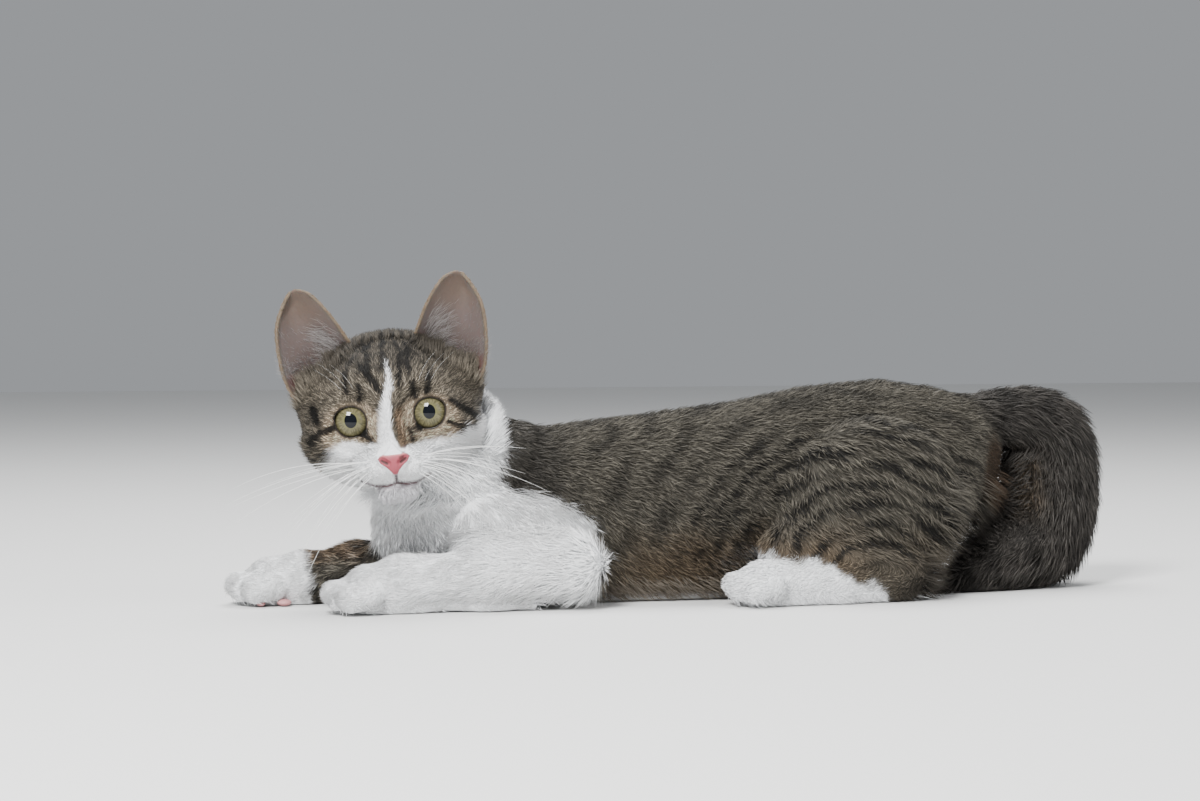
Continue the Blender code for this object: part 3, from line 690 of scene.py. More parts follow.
def bodyColour(points):
    x, y, z = points.T
    colour = plain(coat["ground"], points)
    warp = 1.6 * ripple(points, 34, 3)
    warm = ramp(44 + warp * 2 - z, 0, 28) * ramp(x, -60, -20) * (0.85 - 0.6 * ramp(x, 44, 76))
    far = np.hypot(x - haunch["centre"][0], z - haunch["centre"][1]) + warp
    tight, wide = haunch["spacing"]
    phase = np.where(
        far < haunch["turnover"], far / tight,
        haunch["turnover"] / tight + (far - haunch["turnover"]) / wide,
    )
    lines = ramp(np.cos(2 * math.pi * phase + 0.3 * ripple(points, 22, 4)), 0.0, 0.7)
    broken = 0.45 + 0.55 * ramp(ripple(points * np.array([1, 0.6, 1]), 19, 5), -0.9, 0)
    broken = broken * (0.55 + 0.45 * ramp(haunch["turnover"] + 6 - far, 0, 14))
    fade = ramp(x, -78, -52) * ramp(z, 8, 26) * (1 - 0.5 * ramp(x, 125, 150))
    # painted shade in the recess between the rump and the tail
    gapShade = ramp(1.25 - np.hypot((x - 146) / 9, (z - 55) / 19), 0, 0.5)
    # painted shade over the haunch's lower rear, below the under line
    under = np.interp(x, haunch["under"][0], haunch["under"][1]) - z
    spine = ramp(9 - np.abs(y + 0.6 * warp), 0, 5) * ramp(z, 74, 84) * ramp(x, -90, -40)
    return layered(
        colour, ("warm", warm), ("ticked", ramp(-55 - x, 0, 22)), ("stripe", lines * broken * fade * 0.95),
        ("gapShade", gapShade * 0.9), ("shade", ramp(under, -4, 12) * ramp(x, 72, 90) * 0.85),
        ("stripe", spine * 0.62),
    )


def tailColour(points):
    along = nearestOn(points, tail)[0]
    rings = ramp(np.cos(2 * math.pi * along * 9 + 0.8 * ripple(points, 30, 8)), 0.2, 0.9)
    inner = ramp(178 - points[:, 0], 0, 16) * ramp(70 - points[:, 2], 0, 12) * ramp(points[:, 2], 30, 44)
    tip = ramp(along, 0.82, 0.97)
    return layered(
        plain(coat["tail"], points), ("stripe", rings * 0.45), ("stripe", tip * 0.7), ("warm", inner * 0.6),
    )


def faceColour(points):
    local = inHead(points)[0]
    x, y, z = local.T
    eyeSide = np.where(x > 0, x - eye["place"][0], x + eye["place"][0])
    buff = ramp(15.5 - np.hypot(eyeSide, (z + 3.5) * 1.1), 0, 5) * ramp(12 - y, 0, 6)
    crown = (
        ramp(np.cos(2 * math.pi * (x + 0.04 * x * y) / 5.6), 0.0, 0.6) * ramp(z, 17, 24)
        * ramp(22 - np.abs(x), 0, 6)
    )
    crown = crown * 0.92 * ramp(ripple(points, 10, 9), -1.1, -0.2)
    top = np.maximum(ramp(z, 14, 27), ramp(y, 6, 26))
    colour = layered(
        plain(coat["face"], points), ("crown", top), ("buff", buff * 0.8), ("faceStripe", crown),
    )
    wobble = 0.25 * ripple(points, 4, 11)
    front = ramp(20 - y, 0, 6)
    for line in faceMarks["stripes"]:
        colour = layered(
            colour, ("faceStripe", ramp(1.1 - stroke(x, z, line) - wobble, 0, 1.1) * front * 0.97),
        )
    angle = np.degrees(np.arctan2(z, np.where(x > 0, -eyeSide, eyeSide)))
    lids = np.hypot(eyeSide, z) - openingReach(angle)
    edgeX, edgeZ = np.array(faceMarks["whiteEdge"]).T
    edge = np.interp(x, edgeX, edgeZ) - z + 0.6 * wobble
    white = ramp(edge, -0.8, 1.0) * (1 - ramp(y, 14, 26) * ramp(10 - x, 0, 16) * ramp(z, -30, -22))
    white = np.maximum(white, ramp(0.5 - stroke(x, z, faceMarks["blaze"]) - wobble * 0.6, 0, 0.9) * front)
    white = np.maximum(white, ramp(-22 - z, 0, 5))
    bridge = ramp(0.4 - stroke(x, z, faceMarks["bridge"]) - wobble * 0.5, 0, 1.2) * ramp(-y, 4, 8)
    spots = np.minimum(*(np.hypot(x - a, z - b) - r for a, b, r in faceMarks["bridgeSpots"]))
    folded = np.abs(x)
    # the mouth's and the philtrum's line: the lips' own dark edge, and painted shade of the grooves that
    # the fur covers
    lines = (
        [(a, b, wide) for a, b, _ in head[name]] for name, wide in (("mouth", 0.25), ("philtrum", 0.2))
    )
    lips = np.minimum(*(stroke(folded, z, line) for line in lines))
    lilac = ramp(0.6 - stroke(folded, z, faceMarks["underLip"]), 0, 1.4) * ramp(-y, 4, 8)
    chin = ramp(-z, 30, 32) * ramp(20 - folded, 0, 5) * ramp(-y, 0, 6)
    return layered(
        colour, ("white", white), ("tan", bridge * 0.85),
        ("lip", ramp(0.3 - spots, 0, 0.8) * ramp(-y, 8, 12) * 0.7),
        ("lilac", lilac * 0.8), ("chin", chin * 0.8),
        ("lip", ramp(0.8 - lips, 0, 0.8) * ramp(-y, 4, 8) * 0.85),
        ("faceStripe", ramp(1.0 - lids, 0, 0.8) * ramp(-y, -1, 3)),
    )


def coatColour(points, parts=None):
    # the colour of the fur rooted at these places
    parts = partFields(points) if parts is None else parts
    share = shares(parts, 2.0)
    x, y, z = points.T
    body = bodyColour(points)
    nearEdge = np.interp(z, *np.array(nearBorder, float).T)
    farEdge = np.interp(z, *np.array(farBorder, float).T)
    border = np.where(y < 0, nearEdge, farEdge) + 3.0 * ripple(points, 16, 12)
    nape = ramp(z - (104 - 0.95 * (y + 28)) + 2 * ripple(points, 18, 13), -3, 3)
    white = ramp(border - x, -3, 3) * (1 - nape)
    white = np.maximum(white, ramp(5 - z, 0, 4) * ramp(30 - np.abs(x + 25), -20, 10) * 0.55)
    body = layered(body, ("white", white))
    near = layered(body, ("white", ramp(border - x, -3, 3)))
    patch = ramp(x + 177 + 1.5 * ripple(points, 9, 14), -1, 2)
    bands = np.cos(2 * math.pi * (x + 0.5 * z) / 9.5 + ripple(points, 12, 15))
    farLeg = layered(
        plain(coat["white"], points), ("ground", patch),
        ("tan", patch * ramp(z, 17, 24) * ramp(-146 - x, 0, 10) * 0.7),
        ("stripe", patch * ramp(bands, 0, 0.7) * 0.8),
    )
    foot = np.interp(x, *hindFootWhite) - z + 1.5 * ripple(points, 11, 16)
    hind = layered(bodyColour(points), ("white", ramp(foot, -1.5, 1.5)))
    rows = {
        "trunk": body, "neck": body, "nearForeleg": near, "farForeleg": farLeg, "nearHind": hind,
        "farHind": hind, "tail": tailColour(points), "head": faceColour(points),
    }
    return sum(share[name][:, None] * colours for name, colours in rows.items())


def paint(obj, colours):
    layer = obj.data.attributes.new("coatColour", "FLOAT_COLOR", "POINT")
    layer.data.foreach_set(
        "color", np.column_stack([colours, np.ones(len(colours))]).astype(np.float32).ravel(),
    )


def dress(obj, colours, finish):
    paint(obj, colours)
    obj.data.materials.append(finish)
    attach(obj, "root")


# materials
shaderForm = {"sheenRoughness": 0.5, "specular": 0.22, "mottle": (900, 3), "grainDetail": 4}


def material(name, roughness, sheen=0.0, bump=None, variety=0.0):
    made = bpy.data.materials.new(name)
    made.use_nodes = True
    nodes, links = made.node_tree.nodes, made.node_tree.links
    shader = nodes["Principled BSDF"]
    shader.inputs["Roughness"].default_value = roughness
    shader.inputs["Sheen Weight"].default_value = sheen
    shader.inputs["Sheen Roughness"].default_value = shaderForm["sheenRoughness"]
    shader.inputs["Specular IOR Level"].default_value = shaderForm["specular"]
    colour = nodes.new("ShaderNodeAttribute")
    colour.attribute_name = "coatColour"
    place = nodes.new("ShaderNodeTexCoord")
    mottle = nodes.new("ShaderNodeTexNoise")
    mottle.inputs["Scale"].default_value, mottle.inputs["Detail"].default_value = shaderForm["mottle"]
    spread = nodes.new("ShaderNodeMapRange")
    spread.inputs["To Min"].default_value, spread.inputs["To Max"].default_value = 1 - variety, 1 + variety
    tone = nodes.new("ShaderNodeMix")
    tone.data_type, tone.blend_type = "RGBA", "MULTIPLY"
    tone.inputs["Factor"].default_value = 1
    links.new(place.outputs["Object"], mottle.inputs["Vector"])
    links.new(mottle.outputs["Fac"], spread.inputs["Value"])
    links.new(colour.outputs["Color"], tone.inputs["A"])
    links.new(spread.outputs["Result"], tone.inputs["B"])
    links.new(tone.outputs["Result"], shader.inputs["Base Color"])
    if bump:
        grain = nodes.new("ShaderNodeTexNoise")
        grain.inputs["Scale"].default_value, strength, distance = bump
        grain.inputs["Detail"].default_value = shaderForm["grainDetail"]
        relief = nodes.new("ShaderNodeBump")
        relief.inputs["Strength"].default_value = strength
        relief.inputs["Distance"].default_value = distance
        links.new(place.outputs["Object"], grain.inputs["Vector"])
        links.new(grain.outputs["Fac"], relief.inputs["Height"])
        links.new(relief.outputs["Normal"], shader.inputs["Normal"])
    return made


furFinish = material("fur", 0.6, 0.0, variety=0.15)
skinFinish = material("skin under fur", 0.8, 0.0, (1500, 0.6, 0.0006), 0.2)

skinPoints = coordinates(skin) / mm
skinTone = coatColour(skinPoints)
# the skin takes the fur's colour, darkened to 0.6 under dark fur and 0.9 under white fur, as painted shade
# beneath the coat
paint(skin, skinTone * np.where(skinTone.mean(1) > 0.5, 0.9, 0.6)[:, None])
skin.data.materials.clear()
skin.data.materials.append(skinFinish)
skin.data.shade_smooth()
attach(skin, "root")
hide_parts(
    *[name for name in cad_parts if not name.endswith("_eye") and not name.endswith("_ear")],
)
print("skin painted")


# the coat: tufts rooted on a surface, lying along the coat's own lie
def lieOf(points, parts):
    share = shares(parts, 4.0)
    local, folded = inHead(points)
    x, y, z = points.T
    side = ramp(np.abs(y), 8, 36)
    trunkWay = np.column_stack([np.ones_like(x), 0 * x, -0.15 - 0.35 * side])
    trunkWay = trunkWay + ramp(-118 - x, 0, 20)[:, None] * np.array([-0.9, 0, -0.9])
    neckWay = np.column_stack(
        [0.55 + 0.3 * ramp(z, 60, 92), -0.1 * np.sign(y), -0.75 + 0.55 * ramp(z, 70, 95)]
    )
    upper = ramp(z, 34, 46)[:, None]
    nearWay = nearestOn(points, nearForeleg["bones"])[2] * (1 - upper) + upper * np.array([0.5, 0, -0.85])
    farWay = nearestOn(points, farForeleg["bones"])[2] * (1 - upper) + upper * np.array([0.5, 0, -0.85])
    low = ramp(np.interp(x, [0, 60, 95], [28, 22, 14]) - z, -2, 4)[:, None]
    knee = ramp(x, 36, 60)
    around = np.column_stack(
        [0.2 + 0.55 * knee - 0.2 * ramp(x, 60, 110), 0 * x, -0.9 + 0.3 * knee - 0.3 * ramp(x, 60, 100)]
    )
    hindWay = low * np.array([-1, 0, -0.15]) + (1 - low) * around
    tailWay = nearestOn(points, tail)[2] + np.array([0, 0, -0.2])
    fromNose = normalised(local - np.array([0, -21, -16]))
    eyeSide = folded - eyePlace
    fromEye = (
        normalised(eyeSide * np.array([1, 0, 1]))
        * np.column_stack([np.sign(local[:, 0]), 0 * x, np.ones_like(x)])
    )
    rim = ramp(15 - norms(eyeSide), 0, 4)[:, None]
    headLocal = (
        fromNose + 1.2 * rim * fromEye + ramp(local[:, 1], 0, 25)[:, None] * np.array([0, 0.6, -0.35])
    )
    headWay = headLocal @ headAxes.T
    way = sum(share[name][:, None] * normalised(rows) for name, rows in (
        ("trunk", trunkWay), ("neck", neckWay), ("nearForeleg", nearWay), ("farForeleg", farWay),
        ("nearHind", hindWay), ("farHind", hindWay), ("tail", tailWay), ("head", headWay)))
    return normalised(way)


def sampled(obj, count, wanted, seed):
    # roots on the surface, as dense as wanted() says, with their normals
    mesh = obj.data
    mesh.calc_loop_triangles()
    corners = np.empty(len(mesh.loop_triangles) * 3, np.int32)
    mesh.loop_triangles.foreach_get("vertices", corners)
    corners = corners.reshape(-1, 3)
    points = coordinates(obj)
    normals = vertexNormals(obj)
    a, b, c = (points[corners[:, k]] for k in range(3))
    face = np.cross(b - a, c - a)
    area = norms(face) / 2
    weight = area * wanted((a + b + c) / 3 / mm, face / np.maximum(area[:, None] * 2, 1e-15))
    total = np.cumsum(weight)
    draw = np.random.RandomState(seed)
    picks = (np.arange(count) + draw.random_sample(count)) / count * total[-1]
    chosen = np.minimum(np.searchsorted(total, picks), len(weight) - 1)
    s, t = draw.random_sample((2, count))
    s, t = np.where(s + t > 1, 1 - s, s)[:, None], np.where(s + t > 1, 1 - t, t)[:, None]
    weights = (1 - s - t, s, t)
    roots = sum(w * points[corners[chosen, k]] for k, w in enumerate(weights)) / mm
    return roots, normalised(sum(w * normals[corners[chosen, k]] for k, w in enumerate(weights)))


tuftForm = {
    # degrees, degrees, mm and the bake's own measure
    "lift": 36, "wander": 16, "sink": 0.8, "patch": 0.003,
    "clump": 3.4, "hash": (73856093, 19349663, 83492791), "most": 195000, "floorGap": 0.4,
    "shape": {1: (1.0,), 2: (0.9, 0.8), 3: (0.85, 1.0, 0.62)},  # how wide it is at each step to the tip
}


def patchPlace(points, parts):
    # a flat unwrap of the skin: along and around each part, each in its own field of the sheet
    names = list(parts)
    main = ruling(parts)
    fields = {
        "trunk": (0.0, 0.0, 0.5, 0.5), "head": (0.5, 0.0, 0.5, 0.5), "neck": (0.0, 0.5, 0.25, 0.25),
        "tail": (0.25, 0.5, 0.25, 0.5), "nearForeleg": (0.5, 0.5, 0.25, 0.25),
        "farForeleg": (0.75, 0.5, 0.25, 0.25), "nearHind": (0.5, 0.75, 0.25, 0.25),
        "farHind": (0.75, 0.75, 0.25, 0.25),
    }
    x, y, z = points.T
    local = inHead(points)[0]
    along = {
        "trunk": (x + 155) / 312, "neck": (x + 175) / 110, "head": (local[:, 1] + 32) / 92,
        "nearForeleg": (x + 180) / 150, "farForeleg": (x + 220) / 175, "nearHind": (x + 5) / 135,
        "farHind": (x + 5) / 135, "tail": nearestOn(points, tail)[0],
    }
    legMiddle = np.where(y < 0, -38, 28)
    around = {name: np.arctan2(y - legMiddle, z - 20) for name in names}
    around["trunk"], around["neck"] = np.arctan2(y, z - 45), np.arctan2(y + 5, z - 70)
    around["head"], around["tail"] = (
        np.arctan2(local[:, 0], local[:, 2] + 4), np.arctan2(y - 5, np.hypot(x - 150, z - 45) - 34)
    )
    place = np.zeros((len(points), 2))
    for index, name in enumerate(names):
        u, v, wide, tall = fields[name]
        here = main == index
        place[here, 0] = u + wide * (0.02 + 0.96 * np.clip(along[name][here], 0, 1))
        place[here, 1] = v + tall * (0.02 + 0.96 * (around[name][here] / 6.2832 + 0.5))
    return place


def growTufts(
    name, roots, normals, ways, lengths, widths, base, tips, seed, lift=None, pull=0.35, droop=0.1, steps=2,
    stand=10,
):
    # each tuft is a thin closed spike of some steps, from its root toward its tip
    count = len(roots)
    draw = np.random.RandomState(seed)
    turn = np.radians(draw.normal(0, tuftForm["wander"], count) + 14 * ripple(roots, 9, seed + 1))[:, None]
    along = normalised(ways - (ways * normals).sum(1, keepdims=True) * normals)
    across = np.cross(normals, along)
    along = along * np.cos(turn) + across * np.sin(turn)
    start = np.radians((tuftForm["lift"] if lift is None else lift) + draw.normal(0, 6, count))[:, None]
    centre = [roots - normals * np.minimum(lengths * 0.08, tuftForm["sink"])[:, None]]
    for step in range(1, steps + 1):
        angle = start + (math.radians(stand) - start) * ((step - 0.5) / steps)
        way = normalised(
            along * np.cos(angle) + normals * np.sin(angle) + np.array([0, 0, -droop]) * (step / steps)
        )
        centre.append(centre[-1] + way * (lengths / steps)[:, None])
    cell = (
        np.floor(roots / tuftForm["clump"] + 0.35 * ripple(roots, 11, seed + 2)[:, None])
    ).astype(np.int64)
    key = (cell * np.array(tuftForm["hash"])).sum(1)
    _, group = np.unique(key, return_inverse=True)
    group = group.reshape(-1)
    many = np.maximum(np.bincount(group), 1)
    for step in range(1, steps + 1):
        middle = np.stack([np.bincount(group, centre[step][:, axis]) / many for axis in range(3)], 1)[group]
        centre[step] = centre[step] + (middle - centre[step]) * pull * (step / steps) ** 2
    sideways = normalised(np.cross(centre[-1] - centre[0], normals)) * (widths / 2)[:, None]
    up = normals * (widths * 0.42)[:, None]
    rings, colours = [], []
    # roots darker than the tips: on dark fur the hair's own banding, on pale fur painted shade deep in the
    # coat
    rootBandAndShade = np.where(base.mean(1) > 0.45, 0.92, 0.5)[:, None]
    for step in range(steps):
        size = tuftForm["shape"][steps][step]
        rings.append(
            np.stack(
                [centre[step] + sideways * size, centre[step] - sideways * size, centre[step] + up * size],
                1,
            )
        )
        dark = rootBandAndShade + (1 - rootBandAndShade) * (step / max(steps - 1, 1))
        colours.append(np.repeat((base * dark)[:, None], 3, 1))
    points = np.concatenate([np.concatenate(rings, 1), centre[-1][:, None]], 1)
    tones = np.concatenate([np.concatenate(colours, 1), tips[:, None]], 1)
    each = 3 * steps + 1
    faces = [(2, 1, 0)]
    for step in range(steps - 1):
        low, high = 3 * step, 3 * step + 3
        for k in range(3):
            after = (k + 1) % 3
            faces += [(low + k, low + after, high + after), (low + k, high + after, high + k)]
    last = 3 * (steps - 1)
    faces += [(last + k, last + (k + 1) % 3, last + 3) for k in range(3)]
    faces = np.array(faces)
    one = points[0]
    if np.einsum("ij,ij->", np.cross(one[faces[:, 0]], one[faces[:, 1]]), one[faces[:, 2]]) < 0:
        faces = faces[:, ::-1]
    parts = partFields(roots)
    home = patchPlace(roots, parts)
    spot = (
        np.array(
            [[(k - 1) / 2, step / steps - 0.5] for step in range(steps) for k in range(3)] + [[0, 0.5]]
        )
        * tuftForm["patch"]
    )
    unwrap = (home[:, None] + spot[None]).astype(np.float32)
    most = tuftForm["most"] // len(faces)
    for number, first in enumerate(range(0, count, most)):
        last = min(first + most, count)
        some = points[first:last].reshape(-1, 3) * mm
        some[:, 2] = np.maximum(some[:, 2], tuftForm["floorGap"] * mm)
        corners = (
            faces[None] + (np.arange(last - first) * each)[:, None, None]
        ).reshape(-1).astype(np.int32)
        mesh = bpy.data.meshes.new(name + str(number + 1))
        mesh.vertices.add(len(some))
        mesh.vertices.foreach_set("co", some.astype(np.float32).ravel())
        mesh.loops.add(len(corners))
        mesh.loops.foreach_set("vertex_index", corners)
        mesh.polygons.add(len(corners) // 3)
        mesh.polygons.foreach_set("loop_start", np.arange(0, len(corners), 3, dtype=np.int32))
        mesh.update(calc_edges=True)
        mesh.shade_smooth()
        layer = mesh.uv_layers.new(name="OFBake")
        layer.data.foreach_set("uv", unwrap[first:last].reshape(-1, 2)[corners].ravel())
        obj = bpy.data.objects.new(mesh.name, mesh)
        bpy.context.scene.collection.objects.link(obj)
        dress(obj, tones[first:last].reshape(-1, 3), furFinish)
    print(name, count, "tufts", len(faces) * count, "triangles")


def bareness(points):
    # 1 where fur grows, 0 on the nose, in the sockets, under the belly and on the pads
    local, folded = inHead(points)
    eyeGap = norms(folded - eyePlace)
    nose = stroke(local[:, 0], local[:, 2], [(0, -16.7, 6.1), (0, -19, 4.7), (0, -23, 1.4)])
    lips = stroke(folded[:, 0], local[:, 2], [(a, b, 0.3) for a, b, _ in head["mouth"]])
    bare = (
        ramp(eyeGap, 11.2, 11.6) * np.where(local[:, 1] < 0, ramp(lips, 0.1, 0.6), 1)
        * np.where(local[:, 1] < -17, ramp(nose, 0.2, 0.6), 1)
    )
    return bare * ramp(points[:, 2], 0.6, 2.5)


tuftLook = {"light": 0.45, "ticks": (0.42, 0.7), "tips": (0.4, 0.85, 3.1)}  # dark, plain and bright tips
coatGrowth = {
    "least": 1.6, "wide": (0.55, 0.045), "pull": 0.35, "droop": 0.1, "steps": 2, "lift": None,
    "denser": (1, 0, "z", 0, 1),
}
# parts, tufts and seed; how much longer than the coat is deep; least length; width and its rise with length
coats = {
    "coatHead": {
        "on": ["head"], "count": 50000, "denser": (0.45, 1.0, "back", 22, 8), "seed": 100,
        "slot": "head_coat", "longer": 2.0, "least": 3.0, "wide": (0.40, 0.03), "pull": 0.15, "lift": 30,
        "steps": 1,
    },
    "coatNeck": {
        "on": ["neck"], "count": 12000, "seed": 200, "slot": "white_coat", "longer": 1.9,
        "wide": (0.35, 0.03), "pull": 0.3, "droop": 0.2,
    },
    "coatTrunk": {
        "on": ["trunk"], "count": 20000, "seed": 300, "slot": "tabby_coat", "longer": 1.55,
        "wide": (0.32, 0.025), "pull": 0.25,
    },
    "hairTrunk": {
        "on": ["trunk"], "count": 54000, "seed": 350, "slot": "tabby_coat", "longer": 1.35,
        "wide": (0.25, 0.02), "pull": 0.12, "lift": 32, "steps": 1,
    },
    "coatForelegs": {
        "on": ["nearForeleg", "farForeleg"], "count": 31000, "denser": (1, 1.6, "x", -130, -150),
        "seed": 400, "slot": "white_coat", "longer": 2.5, "wide": (0.35, 0.035), "pull": 0.25, "lift": 26,
        "steps": 1,
    },
    "coatHindLegs": {
        "on": ["nearHind", "farHind"], "count": 14000, "denser": (1, 1.4, "z", 24, 16), "seed": 500,
        "slot": "tabby_coat", "longer": 1.8, "wide": (0.36, 0.03), "pull": 0.3,
    },
    "hairHindLegs": {
        "on": ["nearHind", "farHind"], "count": 16000, "denser": (1, 1.4, "z", 24, 16), "seed": 550,
        "slot": "tabby_coat", "longer": 1.6, "wide": (0.24, 0.02), "pull": 0.2, "lift": 24, "steps": 1,
    },
    "coatTail": {
        "on": ["tail"], "count": 10500, "seed": 600, "slot": "tail_coat", "longer": 2.6,
        "wide": (0.34, 0.025), "droop": 0.3, "lift": 36,
    },
    "hairTail": {
        "on": ["tail"], "count": 9000, "seed": 650, "slot": "tail_coat", "longer": 2.4,
        "wide": (0.25, 0.02), "pull": 0.2, "lift": 30, "steps": 1,
    },
}


def measures(points, parts, normals):
    # what the fur's places are given by: on the body, on the head and which way the skin faces
    local, folded = inHead(points)
    return {
        "x": points[:, 0], "y": points[:, 1], "z": points[:, 2], "aside": folded[:, 0], "back": local[:, 1],
        "up": local[:, 2], "facingX": normals[:, 0], "facingZ": normals[:, 2], "headGap": parts["head"],
    }


def on(parts, *names):
    return np.isin(ruling(parts), [list(parts).index(name) for name in names]) * 1.0


def denser(known, base, gain, measure, start, full):
    return base + gain * ramp(known[measure], start, full)


def grow(name, row):
    def wanted(points, normals):
        parts = partFields(points)
        share = (
            on(parts, *row["on"]) * denser(measures(points, parts, normals), *row["denser"])
            * bareness(points)
        )
        return share * (1 - 0.9 * ramp(-normals[:, 2], 0.75, 0.95) * ramp(8 - points[:, 2], 0, 4))
    count, seed = row["count"], row["seed"]
    roots, normals = sampled(skin, count, wanted, seed)
    parts = partFields(roots)
    depth = np.maximum(depthOf(roots, parts), 0)
    draw = np.random.RandomState(seed + 50)
    lengths = np.maximum(depth * row["longer"], row["least"]) * draw.uniform(0.75, 1.25, count)
    noseGap = norms(inHead(roots)[0] - nosePlace)
    eyeGap = norms(inHead(roots)[1] - eyePlace)
    lengths = lengths * (0.4 + 0.6 * ramp(noseGap, 7, 18)) * (0.5 + 0.5 * ramp(eyeGap, 11, 16))
    widths = (row["wide"][0] + row["wide"][1] * lengths) * draw.uniform(0.75, 1.2, count)
    ways = lieOf(roots, parts)
    flat = normalised(ways - (ways * normals).sum(1, keepdims=True) * normals)
    astray = draw.normal(0, 0.075, (count, 3)) * np.minimum(lengths, 9)[:, None]
    base = coatColour(
        roots + flat * (lengths * draw.uniform(0.1, 0.4, count))[:, None] + normals * depth[:, None] * 0.5
        + astray
    )
    tips = coatColour(roots + flat * (lengths * 0.75)[:, None] + normals * depth[:, None] * 0.9 + astray)
    look = tuftLook
    light = base.mean(1) > look["light"]
    tone = draw.uniform(0.82, 1.18, count)
    tick = draw.random_sample(count)
    strong = np.where(light, 0.0, ramp(tips.mean(1), 0.012, 0.04))
    bright = np.where(
        tick > look["ticks"][1], look["tips"][2],
        np.where(tick < look["ticks"][0], look["tips"][0], look["tips"][1]),
    )
    even = np.where(light, 0.94 + 0.08 * (tone - 0.82) / 0.36, tone)[:, None]
    tips = np.minimum(tips * np.where(light, 1.06, tone * (1 + strong * (bright - 1)))[:, None], 0.9)
    growTufts(
        name, roots, normals, ways, lengths, widths, base * even, tips, seed,
        row["lift"], row["pull"], row["droop"], row["steps"],
    )


for name, row in coats.items():
    grow(name, {**coatGrowth, **row})


def toward(*way):
    return lambda points: normalised(np.tile(np.array(way, float), (len(points), 1)))


def headToward(out, forward, up):
    def way(points):
        side = np.sign(inHead(points)[0][:, 0])
        return normalised(np.column_stack([out * side, forward + 0 * side, up + 0 * side]) @ headAxes.T)
    return way


def earFoot(points):
    local, folded = inHead(points)
    lip = stroke(folded[:, 0], local[:, 2], [(41, 9, 3), (36, 16, 3.5), (26, 24, 3.5), (13, 32, 2.5)])
    around = ramp(4 - np.abs(ball(folded, (33, 13, 22), (12, 13, 13))), 0, 3) * ramp(local[:, 1], 10, 16)
    return np.maximum(ramp(1.5 - lip, 0, 2) * ramp(16 - local[:, 1], 0, 5), 0.6 * around)


plumeGrowth = {
    "shape": None, "denser": (1, 0, "z", 0, 1), "colour": None, "slot": "head_coat", "stand": 35,
    "pull": 0.3,
}
# longer fur at the edges, from where each measure starts it to where it is full
plumes = {
    "earFootFur": {
        "count": 2600, "on": ["head"], "where": [], "shape": earFoot, "way": headToward(0.4, -0.15, 0.9),
        "long": (5, 9), "seed": 800, "wide": (0.28, 0.45), "lift": 40, "stand": 30,
    },
    "crownFur": {
        "count": 1600, "on": ["head"], "way": headToward(0.1, 0.35, 0.9),
        "where": [("up", 22, 28), ("back", 0, 6), ("back", 22, 14), ("aside", 22, 16)], "long": (4, 6.5),
        "seed": 805, "wide": (0.28, 0.45), "lift": 55, "stand": 38,
    },
    "chinFur": {
        "count": 2200, "on": ["head"], "way": headToward(0.2, 0.25, -1.0),
        "where": [("up", -30, -33), ("back", 10, 2), ("aside", 19, 14)], "long": (4, 8), "seed": 810,
        "wide": (0.24, 0.36), "lift": 44, "stand": 22,
    },
    "cheekFur": {
        "count": 1500, "on": ["head", "neck"], "way": headToward(0.55, 0.5, -0.6),
        "where": [("aside", 18, 26), ("up", -14, -20), ("back", 4, 10), ("back", 28, 20)], "long": (6, 11),
        "seed": 812, "wide": (0.28, 0.45), "lift": 38, "stand": 22,
    },
    "ruffFur": {
        "count": 1300, "on": ["neck", "trunk"], "way": toward(0.55, -0.25, 0.6), "slot": "white_coat",
        "where": [("y", -6, -14), ("headGap", -1, 1), ("x", -97, -102), ("z", 66, 76)], "long": (8, 14),
        "seed": 815, "wide": (0.32, 0.5), "lift": 58,
    },
    "throatFur": {
        "count": 1700, "on": ["neck"], "way": toward(-0.75, 0.25, -0.65), "slot": "white_coat",
        "where": [("facingX", -0.1, -0.5), ("z", 32, 42)], "long": (11, 18), "seed": 817,
        "wide": (0.32, 0.5), "lift": 64, "stand": 38,
    },
    "rumpFur": {
        "count": 3300, "on": ["trunk", "nearHind"], "way": toward(0.8, -0.1, -0.6), "slot": "tabby_coat",
        "where": [("facingX", 0.2, 0.6), ("x", 90, 104), ("z", 60, 48)], "denser": (1, 1, "z", 34, 18),
        "long": (10, 16), "seed": 820, "wide": (0.32, 0.5), "lift": 66, "stand": 48,
    },
    "tailFringe": {
        "count": 3800, "on": ["tail"], "way": toward(-0.75, -0.15, -0.65), "slot": "tail_coat",
        "where": [("facingX", 0, -0.5), ("z", 73, 65), ("z", 0, 5)], "denser": (1, 1.5, "z", 34, 18),
        "long": (10, 17), "seed": 825, "wide": (0.35, 0.55), "lift": 72, "stand": 52,
        "colour": coat["tail"],
    },
    "legHemFur": {
        "count": 1800, "on": ["nearForeleg", "farForeleg", "nearHind", "farHind"], "slot": "white_coat",
        "where": [("z", 0.5, 2), ("z", 9, 5), ("facingZ", 0.35, 0.05)], "denser": (0.35, 1, "x", -100, -80),
        "way": toward(0.55, -0.1, -0.45), "long": (4, 7), "seed": 835, "wide": (0.28, 0.42), "lift": 42,
        "stand": 12,
    },
    "bellyFringe": {
        "count": 2200, "on": ["trunk"], "way": toward(0.75, -0.2, -0.5), "slot": "tabby_coat",
        "where": [("z", 3, 6), ("z", 15, 9), ("facingZ", 0.1, -0.2), ("x", -66, -56)], "long": (7, 12),
        "seed": 830, "wide": (0.3, 0.45), "lift": 40, "stand": 15, "colour": (0.17, 0.145, 0.115),
    },
}
plumeLook = {"bright": 2.3, "share": 0.7, "plain": (0.5, 1.2), "base": 0.9, "most": 0.9}


